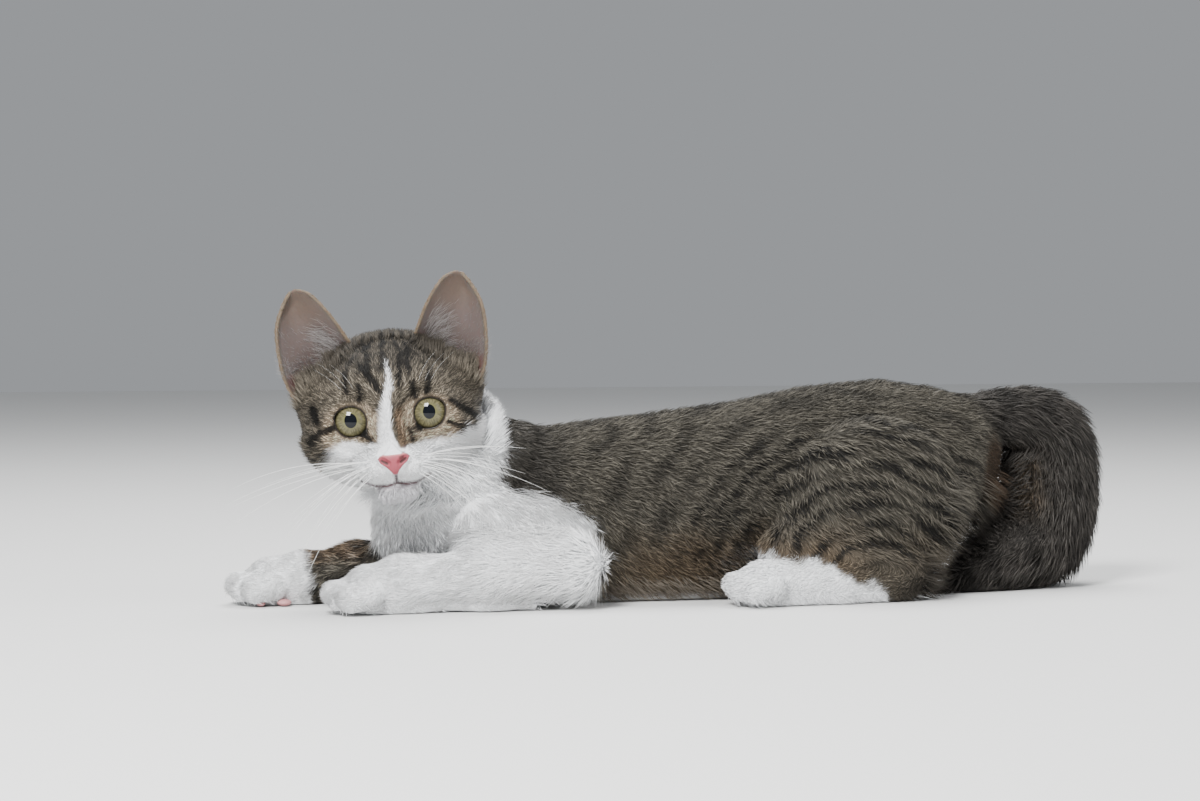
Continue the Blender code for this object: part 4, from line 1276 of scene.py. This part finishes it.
def growPlume(name, row):
    def wanted(points, normals):
        parts = partFields(points)
        known = measures(points, parts, normals)
        share = on(parts, *row["on"])
        for measure, start, full in row["where"]:
            share = share * ramp(known[measure], start, full)
        if row["shape"]:
            share = share * row["shape"](points)
        return share * denser(known, *row["denser"]) * bareness(points)
    count, seed, look = row["count"], row["seed"], plumeLook
    roots, normals = sampled(skin, count, wanted, seed)
    draw = np.random.RandomState(seed + 5)
    ways = row["way"](roots)
    base = (
        np.tile(np.array(row["colour"]), (count, 1)) if row["colour"]
        else coatColour(roots + ways * 3, partFields(roots))
    )
    bright = draw.random_sample(count) > look["share"]
    tone = np.where(
        base.mean(1) > tuftLook["light"], 1.0,
        np.where(bright, look["bright"], draw.uniform(*look["plain"], count)),
    )
    lengths, widths = draw.uniform(*row["long"], count), draw.uniform(*row["wide"], count)
    tips = np.minimum(base * tone[:, None], look["most"])
    growTufts(
        name, roots, normals, ways, lengths, widths, base * look["base"], tips, seed,
        row["lift"], row["pull"], stand=row["stand"],
    )


for name, row in plumes.items():
    growPlume(name, {**plumeGrowth, **row})
print("coat grown")


# ears
earLook = {
    "top": (0.085, 0.058, 0.042), "lining": (0.088, 0.066, 0.060), "canal": (0.085, 0.028, 0.022),
    "rim": (0.13, 0.095, 0.062), "back": (0.06, 0.048, 0.035), "hair": (0.28, 0.26, 0.25), "voxel": 0.55,
    "subsurface": (0.15, 0.003),
}
earFinish = material("ear lining", 0.6, 0.15, (900, 0.4, 0.0005), 0.12)
for socket, value in zip(("Subsurface Weight", "Subsurface Scale"), earLook["subsurface"]):
    earFinish.node_tree.nodes["Principled BSDF"].inputs[socket].default_value = value


def earPlace(points, side):
    # places on the head, the share across from the inner edge, and how far from the edges, in mm
    local = inHead(points)[0] * np.array([side, 1, 1])
    inner, outer = np.array(smoothCurve(earForm["inner"], 40)), np.array(smoothCurve(earForm["outer"], 40))
    z = local[:, 2]
    left, right = np.interp(z, inner[:, 2], inner[:, 0]), np.interp(z, outer[:, 2], outer[:, 0])
    across = (local[:, 0] - left) / np.maximum(right - left, 0.5)
    return local, across, np.minimum(local[:, 0] - left, right - local[:, 0])


def makeEar(name, side):
    inner, outer = (
        smoothCurve(earForm["inner"], earForm["rows"]), smoothCurve(earForm["outer"], earForm["rows"])
    )
    bm = bmesh.new()
    bmesh.ops.create_grid(bm, x_segments=earForm["columns"] - 1, y_segments=earForm["rows"] - 1, size=0.5)
    for vert in bm.verts:
        across, row = vert.co.x + 0.5, round((vert.co.y + 0.5) * (earForm["rows"] - 1))
        up = row / (earForm["rows"] - 1)
        cup = (
            (earForm["cup"][0] + (earForm["cup"][1] - earForm["cup"][0]) * up**0.8)
            * min(1, np.linalg.norm(outer[row] - inner[row]) / earForm["narrow"])
        )
        point = inner[row] + (outer[row] - inner[row]) * across
        point[1] += cup * math.sin(math.pi * min(max(across, 0), 1)) ** 0.8
        vert.co = headPoint((point[0] * side, point[1], point[2]))
    bmesh.ops.recalc_face_normals(bm, faces=bm.faces)
    obj = objectFrom(bm, name)
    solid = obj.modifiers.new("thickness", "SOLIDIFY")
    solid.thickness, solid.offset, solid.use_even_offset = earForm["thick"] * mm, 0, True
    wrap(obj, earLook["voxel"])
    relax(obj)
    points = coordinates(obj) / mm
    front = -(vertexNormals(obj) @ headAxes)[:, 1]
    local, across, edge = earPlace(points, side)
    inside = ramp(front, -0.15, 0.15) * ramp(edge, 0.6, 2.2)
    colour = plain(earLook["back"], points)
    colour = mixed(colour, earLook["lining"], inside)
    colour = mixed(colour, earLook["top"], inside * ramp(local[:, 2], 38, 54) * 0.8)
    colour = mixed(colour, earLook["rim"], ramp(1.2 - edge, 0, 0.9))
    colour = mixed(
        colour, earLook["canal"], inside * ramp(25 - local[:, 2], 0, 6) * ramp(across, 0.35, 0.6) * 0.8,
    )
    obj.data.shade_smooth()
    dress(obj, colour, earFinish)
    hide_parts(name)
    return obj


def rimWay(local, across):
    # along the nearer edge of the ear, toward its tip
    ways = []
    for line in (earForm["inner"], earForm["outer"]):
        line = np.array(smoothCurve(line, 40))
        climb = np.gradient(line, axis=0)
        ways.append(np.column_stack([np.interp(local[:, 2], line[:, 2], climb[:, k]) for k in range(3)]))
    return normalised(np.where((across < 0.5)[:, None], *ways))


earHair = {  # short fur on the back and the rim, and long fine hairs inside
    "back": {
        "count": 5000, "long": (2.4, 4.2), "wide": (0.3, 0.5), "tone": (0.8, 1.25), "tips": (0.7, 1.7),
    },
    "inner": {"count": 900, "long": (0.5, 1.1), "wide": (0.10, 0.17), "tone": (0.7, 1.15), "tips": 1.2},
}


def earFur(name, obj, side, seed):
    backHair, innerHair = earHair["back"], earHair["inner"]

    def back(points, normals):
        local, _, edge = earPlace(points, side)
        return (
            np.maximum(ramp(normals @ headAxes[:, 1], -0.1, 0.3), ramp(1.6 - edge, 0, 1))
            * ramp(local[:, 2], 14, 20)
        )
    roots, normals = sampled(obj, backHair["count"], back, seed)
    local, across, edge = earPlace(roots, side)
    draw = np.random.RandomState(seed)
    base = (
        mixed(plain(earLook["back"], roots), earLook["rim"], ramp(1.8 - edge, 0, 1.4))
        * draw.uniform(*backHair["tone"], len(roots))[:, None]
    )
    rim = ramp(2.4 - edge, 0, 1.4)[:, None]
    ways = (
        (np.tile([0.25, 0.15, 1.0], (len(roots), 1)) * (1 - rim) + rimWay(local, across) * rim)
        * np.array([side, 1, 1]) @ headAxes.T
    )
    lengths = (
        draw.uniform(*backHair["long"], len(roots)) * (1 - 0.4 * rim[:, 0])
        * (1 - 0.7 * ramp(local[:, 2], 55, 59))
    )
    growTufts(
        name + "Back", roots, normals, ways, lengths,
        draw.uniform(*backHair["wide"], len(roots)) * (1 - 0.4 * rim[:, 0]), base,
        base * draw.uniform(*backHair["tips"], (len(roots), 1)), seed, 22 - 10 * rim[:, 0], 0.1, 0, 1,
    )

    def inner(points, normals):
        local, across, edge = earPlace(points, side)
        front = ramp(-(normals @ headAxes[:, 1]), 0, 0.3) * ramp(local[:, 2], 18, 24)
        return (
            front * ramp(across, 0.04, 0.2) * ramp(46 - local[:, 2], 0, 10)
            * (0.15 + ramp(0.5 - across, 0, 0.3) + 1.2 * ramp(32 - local[:, 2], 0, 8))
        )
    roots, normals = sampled(obj, innerHair["count"], inner, seed + 1)
    local, across, edge = earPlace(roots, side)
    ways = np.tile(np.array([0.9 * side, -0.15, 0.5]) @ headAxes.T, (len(roots), 1))
    lengths = (
        (4 + 11 * ramp(0.6 - across, 0, 0.4) * ramp(52 - local[:, 2], 0, 20))
        * draw.uniform(*innerHair["long"], len(roots))
    )
    base = plain(earLook["hair"], roots) * draw.uniform(*innerHair["tone"], len(roots))[:, None]
    growTufts(
        name + "Hair", roots, normals, ways, lengths, draw.uniform(*innerHair["wide"], len(roots)), base,
        base * innerHair["tips"], seed + 1, 16, 0.05, 0.15, 3,
    )


for sideName, side in sides.items():
    flap = makeEar(sideName + "_ear", side)
    earFur(sideName + "Ear", flap, side, 700 + 10 * side)


# eyes
eyeLook = {
    "iris": (0.142, 0.126, 0.066), "middle": (0.066, 0.062, 0.033), "edge": (0.03, 0.026, 0.014),
    "pupil": (0.003, 0.004, 0.006), "irisRadius": 0.74, "pupilSize": (0.27, 0.32), "gaze": 0.06,
    "bright": (0.13, 0.125, 0.055), "brightRing": (0.26, 0.46), "edgeStart": 0.58,
    "pupilEdge": (0.92, 1.12), "fibre": (0.35, 0.65), "fibreAround": 9.0, "fibreOut": 5.0, "fibreDetail": 5,
    "surface": {
        "Roughness": 0.5, "Specular IOR Level": 0.0, "Coat Weight": 0.7, "Coat Roughness": 0.015,
        "Coat IOR": 1.45,
    },
}


def eyeMaterial():
    made = bpy.data.materials.new("eye")
    made.use_nodes = True
    nodes, links = made.node_tree.nodes, made.node_tree.links
    shader = nodes["Principled BSDF"]
    for socket, value in eyeLook["surface"].items():
        shader.inputs[socket].default_value = value

    def combine(kind, first, second):
        node = nodes.new("ShaderNodeMath")
        node.operation = kind
        for socket, value in zip(node.inputs, (first, second)):
            if isinstance(value, (int, float)):
                socket.default_value = value
            else:
                links.new(value, socket)
        return node.outputs[0]

    def blend(first, second, share):
        node = nodes.new("ShaderNodeMix")
        node.data_type = "RGBA"
        links.new(share, node.inputs["Factor"])
        for socket, value in ((node.inputs["A"], first), (node.inputs["B"], second)):
            if isinstance(value, tuple):
                socket.default_value = (*value, 1)
            else:
                links.new(value, socket)
        return node.outputs["Result"]

    def step(value, low, high):
        node = nodes.new("ShaderNodeMapRange")
        node.interpolation_type = "SMOOTHSTEP"
        node.inputs["From Min"].default_value, node.inputs["From Max"].default_value = low, high
        links.new(value, node.inputs["Value"])
        return node.outputs["Result"]

    chart = nodes.new("ShaderNodeUVMap")
    chart.uv_map = "eyeChart"
    split = nodes.new("ShaderNodeSeparateXYZ")
    links.new(chart.outputs["UV"], split.inputs[0])
    u, v = combine("SUBTRACT", split.outputs["X"], 0.5), combine("SUBTRACT", split.outputs["Y"], 0.5)
    u, v = combine("MULTIPLY", u, 2.0), combine("SUBTRACT", combine("MULTIPLY", v, 2.0), eyeLook["gaze"])
    out = combine("SQRT", combine("ADD", combine("MULTIPLY", u, u), combine("MULTIPLY", v, v)), 0.0)
    fibre = nodes.new("ShaderNodeTexNoise")
    fibre.inputs["Scale"].default_value = 1
    fibre.inputs["Detail"].default_value = eyeLook["fibreDetail"]
    streak = nodes.new("ShaderNodeCombineXYZ")
    links.new(combine("MULTIPLY", combine("DIVIDE", u, out), eyeLook["fibreAround"]), streak.inputs["X"])
    links.new(combine("MULTIPLY", combine("DIVIDE", v, out), eyeLook["fibreAround"]), streak.inputs["Y"])
    links.new(combine("MULTIPLY", out, eyeLook["fibreOut"]), streak.inputs["Z"])
    links.new(streak.outputs[0], fibre.inputs["Vector"])
    iris = blend(eyeLook["middle"], eyeLook["iris"], step(fibre.outputs["Fac"], *eyeLook["fibre"]))
    iris = blend(eyeLook["bright"], iris, step(out, *eyeLook["brightRing"]))
    iris = blend(iris, eyeLook["edge"], step(out, eyeLook["edgeStart"], eyeLook["irisRadius"]))
    wide, tall = eyeLook["pupilSize"]
    pu, pv = combine("DIVIDE", u, wide), combine("DIVIDE", v, tall)
    pupil = combine("ADD", combine("MULTIPLY", pu, pu), combine("MULTIPLY", pv, pv))
    links.new(
        blend(eyeLook["pupil"], iris, step(pupil, *eyeLook["pupilEdge"])), shader.inputs["Base Color"],
    )
    return made


eyeFinish = eyeMaterial()
for sideName, side in sides.items():
    globe = eyeBall(sideName + "_eye", side, eye["ball"], *eye["globeRings"])
    local = inHead(coordinates(globe) / mm)[0] - eyePlace * np.array([side, 1, 1])
    chart = globe.data.uv_layers.new(name="eyeChart")
    corners = np.empty(len(globe.data.loops), np.int32)
    globe.data.loops.foreach_get("vertex_index", corners)
    chart.data.foreach_set(
        "uv", (0.5 + local[corners][:, [0, 2]] / eye["ball"] / 2).astype(np.float32).ravel(),
    )
    globe.data.materials.append(eyeFinish)
    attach(globe, "root")
    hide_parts(sideName + "_eye")


# dark rims along the lids, lips and whiskers: round strands through given points
def strand(name, lines, finish, colour, sidesCount=6):
    # each line is a list of (point in mm, radius in mm)
    bm = bmesh.new()
    for line in lines:
        closed = line[0] is line[-1]
        spots = [Vector(p) for p, _ in line]
        rings = []
        for k, (p, radius) in enumerate(line[:-1] if closed else line):
            ahead = spots[(k + 1) % (len(spots) - 1)] if closed else spots[min(k + 1, len(spots) - 1)]
            behind = spots[(k - 1) % (len(spots) - 1)] if closed else spots[max(k - 1, 0)]
            turn = (ahead - behind).to_track_quat("Z", "Y").to_matrix().to_4x4()
            made = bmesh.ops.create_circle(
                bm, segments=sidesCount, radius=radius * mm,
                matrix=Matrix.Translation(Vector(p) * mm) @ turn,
                cap_ends=not closed and k in (0, len(line) - 1),
            )
            rings.append(
                [e for v in made["verts"] for e in v.link_edges if all(o in made["verts"] for o in e.verts)]
            )
        pairs = list(zip(rings, rings[1:])) + ([(rings[-1], rings[0])] if closed else [])
        for first, second in pairs:
            bmesh.ops.bridge_loops(bm, edges=list(set(first + second)))
    bmesh.ops.recalc_face_normals(bm, faces=bm.faces)
    obj = objectFrom(bm, name)
    dress(obj, plain(colour, obj.data.vertices), finish)


rimForm = {
    "points": 60, "around": 1.02, "proud": 0.3, "thick": 0.4, "sides": 8, "colour": (0.022, 0.016, 0.014),
}
lipForm = {"points": 14, "proud": 0.15, "thick": 0.5, "tip": 0.12, "colour": (0.085, 0.045, 0.05)}
wetFinish = material("wet skin", 0.28, variety=0.08)
hairFinish = material("whisker", 0.35, variety=0.02)


def skinOnFace(across, up):
    return onFace(across, up, lambda points: skinField(points * mm))


for sideName, side in sides.items():
    angles = np.arange(rimForm["points"]) * 360 / rimForm["points"]
    reach = np.array([openingReach(a) for a in angles]) * rimForm["around"]
    across = (eye["place"][0] - reach * np.cos(np.radians(angles))) * side
    up = eye["place"][2] + reach * np.sin(np.radians(angles))
    depth = skinOnFace(across, up) + rimForm["proud"]
    ring = [(headPoint((a, d, z)) / mm, rimForm["thick"]) for a, d, z in zip(across, depth, up)]
    ring.append(ring[0])
    strand(sideName + "LidRim", [ring], wetFinish, rimForm["colour"], rimForm["sides"])

mouthLine = []
for side in sides.values():
    path = smoothCurve([(x, z, 0) for x, z, _ in head["mouth"]], lipForm["points"])
    across, up = np.array([p[0] * side for p in path]), np.array([p[1] for p in path])
    depth = skinOnFace(across, up) + lipForm["proud"]
    thick = np.linspace(lipForm["thick"], lipForm["tip"], lipForm["points"])
    mouthLine.append([(headPoint((a, d, z)) / mm, r) for a, d, z, r in zip(across, depth, up, thick)])
strand("lipLine", mouthLine, wetFinish, lipForm["colour"])
print("eyes and lips done")

noseForm = {
    "top": -15.0, "bottom": -24.4,
    "half": [
        (-24.4, 0.7), (-22.6, 1.9), (-20.6, 3.9), (-18.8, 6.3), (-17.0, 7.1), (-15.8, 6.1), (-15.0, 3.9),
    ],
    "proud": 0.35, "grid": (56, 44), "nostrilWide": 1.25, "edge": (1.2, 0.14), "thick": 2.0,
    "holes": [(3.0, -18.9, 0.4), (5.2, -17.6, 0.35)], "nostrilShadeColour": (0.05, 0.012, 0.012),
    "spot": (3.4, -16.9, 1.0), "spotColour": (0.12, 0.045, 0.045), "topColour": (0.70, 0.30, 0.28),
}
noseFinish = material("nose leather", 0.38, 0.0, (2600, 0.5, 0.0004), 0.12)


def makeNose():
    bm = bmesh.new()
    bmesh.ops.create_grid(bm, x_segments=noseForm["grid"][0], y_segments=noseForm["grid"][1], size=1)
    zs, half = np.array(noseForm["half"]).T
    flat = np.array([v.co[:2] for v in bm.verts])
    up = (
        (noseForm["top"] + noseForm["bottom"]) / 2 + flat[:, 1] * (noseForm["top"] - noseForm["bottom"]) / 2
    )
    across = flat[:, 0] * np.interp(up, zs, half)
    nostril = groove(head["nostril"], noseForm["nostrilWide"])

    def leather(points):
        return carved(headField(points), chain(inHead(points)[1], nostril, 1), 0.7)
    depth = onFace(across, up, leather)
    edge = np.minimum(1 - np.abs(flat[:, 0]), 1 - np.abs(flat[:, 1]))
    depth = depth - noseForm["proud"] + noseForm["edge"][0] * (1 - ramp(edge, 0, noseForm["edge"][1]))
    for vert, a, d, z in zip(bm.verts, across, depth, up):
        vert.co = headPoint((a, d, z))
    out = bmesh.ops.extrude_face_region(bm, geom=bm.faces[:])
    back = [g for g in out["geom"] if isinstance(g, bmesh.types.BMVert)]
    bmesh.ops.translate(bm, verts=back, vec=headTurn.to_3x3() @ Vector((0, noseForm["thick"] * mm, 0)))
    bmesh.ops.recalc_face_normals(bm, faces=bm.faces)
    obj = objectFrom(bm, "nose")
    local = inHead(coordinates(obj) / mm)[0]
    x, z = local[:, 0], local[:, 2]
    spotX, spotZ, spotSize = noseForm["spot"]
    # the nostril openings painted dark, as painted shade inside them
    nostrilShade = ramp(0.5 - stroke(np.abs(x), z, noseForm["holes"]), 0, 0.6)
    colour = mixed(plain(coat["nose"], local), noseForm["nostrilShadeColour"], nostrilShade)
    spot = ramp(0.3 - (np.hypot(x - spotX, z - spotZ) - spotSize), 0, 0.6)
    colour = mixed(colour, noseForm["spotColour"], spot * 0.8)
    dress(obj, mixed(colour, noseForm["topColour"], ramp(z, -16.4, -15.2) * 0.6), noseFinish)


makeNose()

# under the far paw's toes
pads = [((-198, 3.0, 1.6), (1.9, 3.4, 1.2)), ((-187.5, 3.2, 1.8), (3.3, 3.6, 1.5))]
padColour = (0.52, 0.26, 0.26)
bm = bmesh.new()
for centre, radii in pads:
    made = bmesh.ops.create_uvsphere(bm, u_segments=32, v_segments=20, radius=mm)["verts"]
    bmesh.ops.scale(bm, verts=made, vec=radii)
    bmesh.ops.translate(bm, verts=made, vec=Vector(centre) * mm)
padPiece = objectFrom(bm, "toePads")
dress(padPiece, plain(padColour, padPiece.data.vertices), noseFinish)

# each row's height and where its first root is, then lengths and radii; in mm on the head
whiskers = {
    "rows": [(-17.6, 9.5), (-19.6, 9.0), (-21.8, 10.5), (-24.0, 9.5)], "perRow": 5, "apart": 2.3,
    "long": (34, 62), "farSide": 0.82, "thick": 0.15, "steps": 12, "sag": (0.10, 0.34), "proud": 0.5,
    "seed": 41,
    "colour": (0.86, 0.86, 0.84),
}
browWhiskers = {
    "count": 3, "place": (14, 13.5), "apart": 2.6, "long": (14, 22), "thick": 0.035, "steps": 8,
    "proud": 0.4,
}


def hairLine(root, way, bend, length, thick, thinned, steps):
    shares = [step / steps for step in range(steps + 1)]
    return [
        (headPoint(root + way * length * t + bend * length * t * t) / mm, thick * (1 - thinned * t))
        for t in shares
    ]


def makeWhiskers():
    draw = np.random.RandomState(whiskers["seed"])
    brow = browWhiskers
    lines = []
    for side in sides.values():
        for row, (z, start) in enumerate(whiskers["rows"]):
            for k in range(whiskers["perRow"]):
                x = start + whiskers["apart"] * k + draw.uniform(-0.4, 0.4)
                deep = float(skinOnFace(x * side, z)[0]) + whiskers["proud"]
                root = np.array([x * side, deep, z + draw.uniform(-0.4, 0.4)])
                length = (
                    draw.uniform(*whiskers["long"]) * (0.75 + 0.07 * k)
                    * (1.0 if side < 0 else whiskers["farSide"])
                )
                rise = 0.10 - 0.22 * row + draw.uniform(-0.12, 0.12)
                way = normalised(np.array([[side * (0.95 - 0.05 * row), -0.25 + 0.06 * k, rise]]))[0]
                bend = np.array([0, 0.10, -draw.uniform(*whiskers["sag"]) - 0.05 * row])
                lines.append(hairLine(root, way, bend, length, whiskers["thick"], 0.85, whiskers["steps"]))
        for k in range(brow["count"]):
            x, z = brow["place"][0] + brow["apart"] * k, brow["place"][1]
            root = np.array([x * side, float(skinOnFace(x * side, z)[0]) + brow["proud"], z])
            way, bend = np.array([side * (0.25 + 0.1 * k), -0.55, 0.8]), np.array([side * 0.25, 0.35, -0.1])
            lines.append(
                hairLine(root, way, bend, draw.uniform(*brow["long"]), brow["thick"], 0.8, brow["steps"])
            )
    strand("whiskers", lines, hairFinish, whiskers["colour"], 4)


makeWhiskers()
print("whiskers done")

# setting: a pale floor, soft studio light and the camera
floorLook = {"size": 3.0, "colour": (0.72, 0.72, 0.71), "roughness": 0.75}
bm = bmesh.new()
bmesh.ops.create_grid(bm, x_segments=2, y_segments=2, size=floorLook["size"])
floor = objectFrom(bm, "floor", False)
floorFinish = bpy.data.materials.new("pale floor")
floorFinish.use_nodes = True
shader = floorFinish.node_tree.nodes["Principled BSDF"]
shader.inputs["Base Color"].default_value = (*floorLook["colour"], 1)
shader.inputs["Roughness"].default_value = floorLook["roughness"]
floor.data.materials.append(floorFinish)

studio = {"colour": (0.80, 0.83, 0.87), "strength": 0.42, "target": (-0.03, 0, 0.05)}
world = bpy.data.worlds.new("studio")
bpy.context.scene.world = world
world.use_nodes = True
world.node_tree.nodes["Background"].inputs["Color"].default_value = (*studio["colour"], 1)
world.node_tree.nodes["Background"].inputs["Strength"].default_value = studio["strength"]
lamps = {  # place, size and power
    "key": ((-0.75, -1.0, 1.05), 0.45, 50), "fill": ((0.9, -0.9, 0.7), 1.0, 9),
    "top": ((0.1, 0.35, 1.3), 0.9, 26),
}
for name, (place, size, power) in lamps.items():
    light = bpy.data.lights.new(name, "AREA")
    light.energy, light.size = power, size
    lamp = bpy.data.objects.new(name, light)
    lamp.location = place
    lamp.rotation_euler = (Vector(studio["target"]) - Vector(place)).to_track_quat("-Z", "Y").to_euler()
    bpy.context.scene.collection.objects.link(lamp)

shot = {  # the last four in the photo's pixels
    "away": 1.4, "height": 0.14, "turn": 15, "aside": 0.041, "sensor": 36,
    "horizon": 292.4, "middle": 400.5, "focal": 3045, "wide": 1200,
}
s, c = math.sin(math.radians(shot["turn"])), math.cos(math.radians(shot["turn"]))
camera = bpy.data.objects.new("camera", bpy.data.cameras.new("camera"))
camera.data.sensor_width = shot["sensor"]
camera.data.lens = shot["focal"] / shot["wide"] * shot["sensor"]
camera.location = (
    -shot["away"] * s - shot["aside"] * c, -shot["away"] * c + shot["aside"] * s, shot["height"],
)
camera.rotation_euler = (
    math.pi / 2 - math.atan((shot["middle"] - shot["horizon"]) / shot["focal"]), 0,
    -math.radians(shot["turn"]),
)
bpy.context.scene.collection.objects.link(camera)
bpy.context.scene.camera = camera

print("setting done")
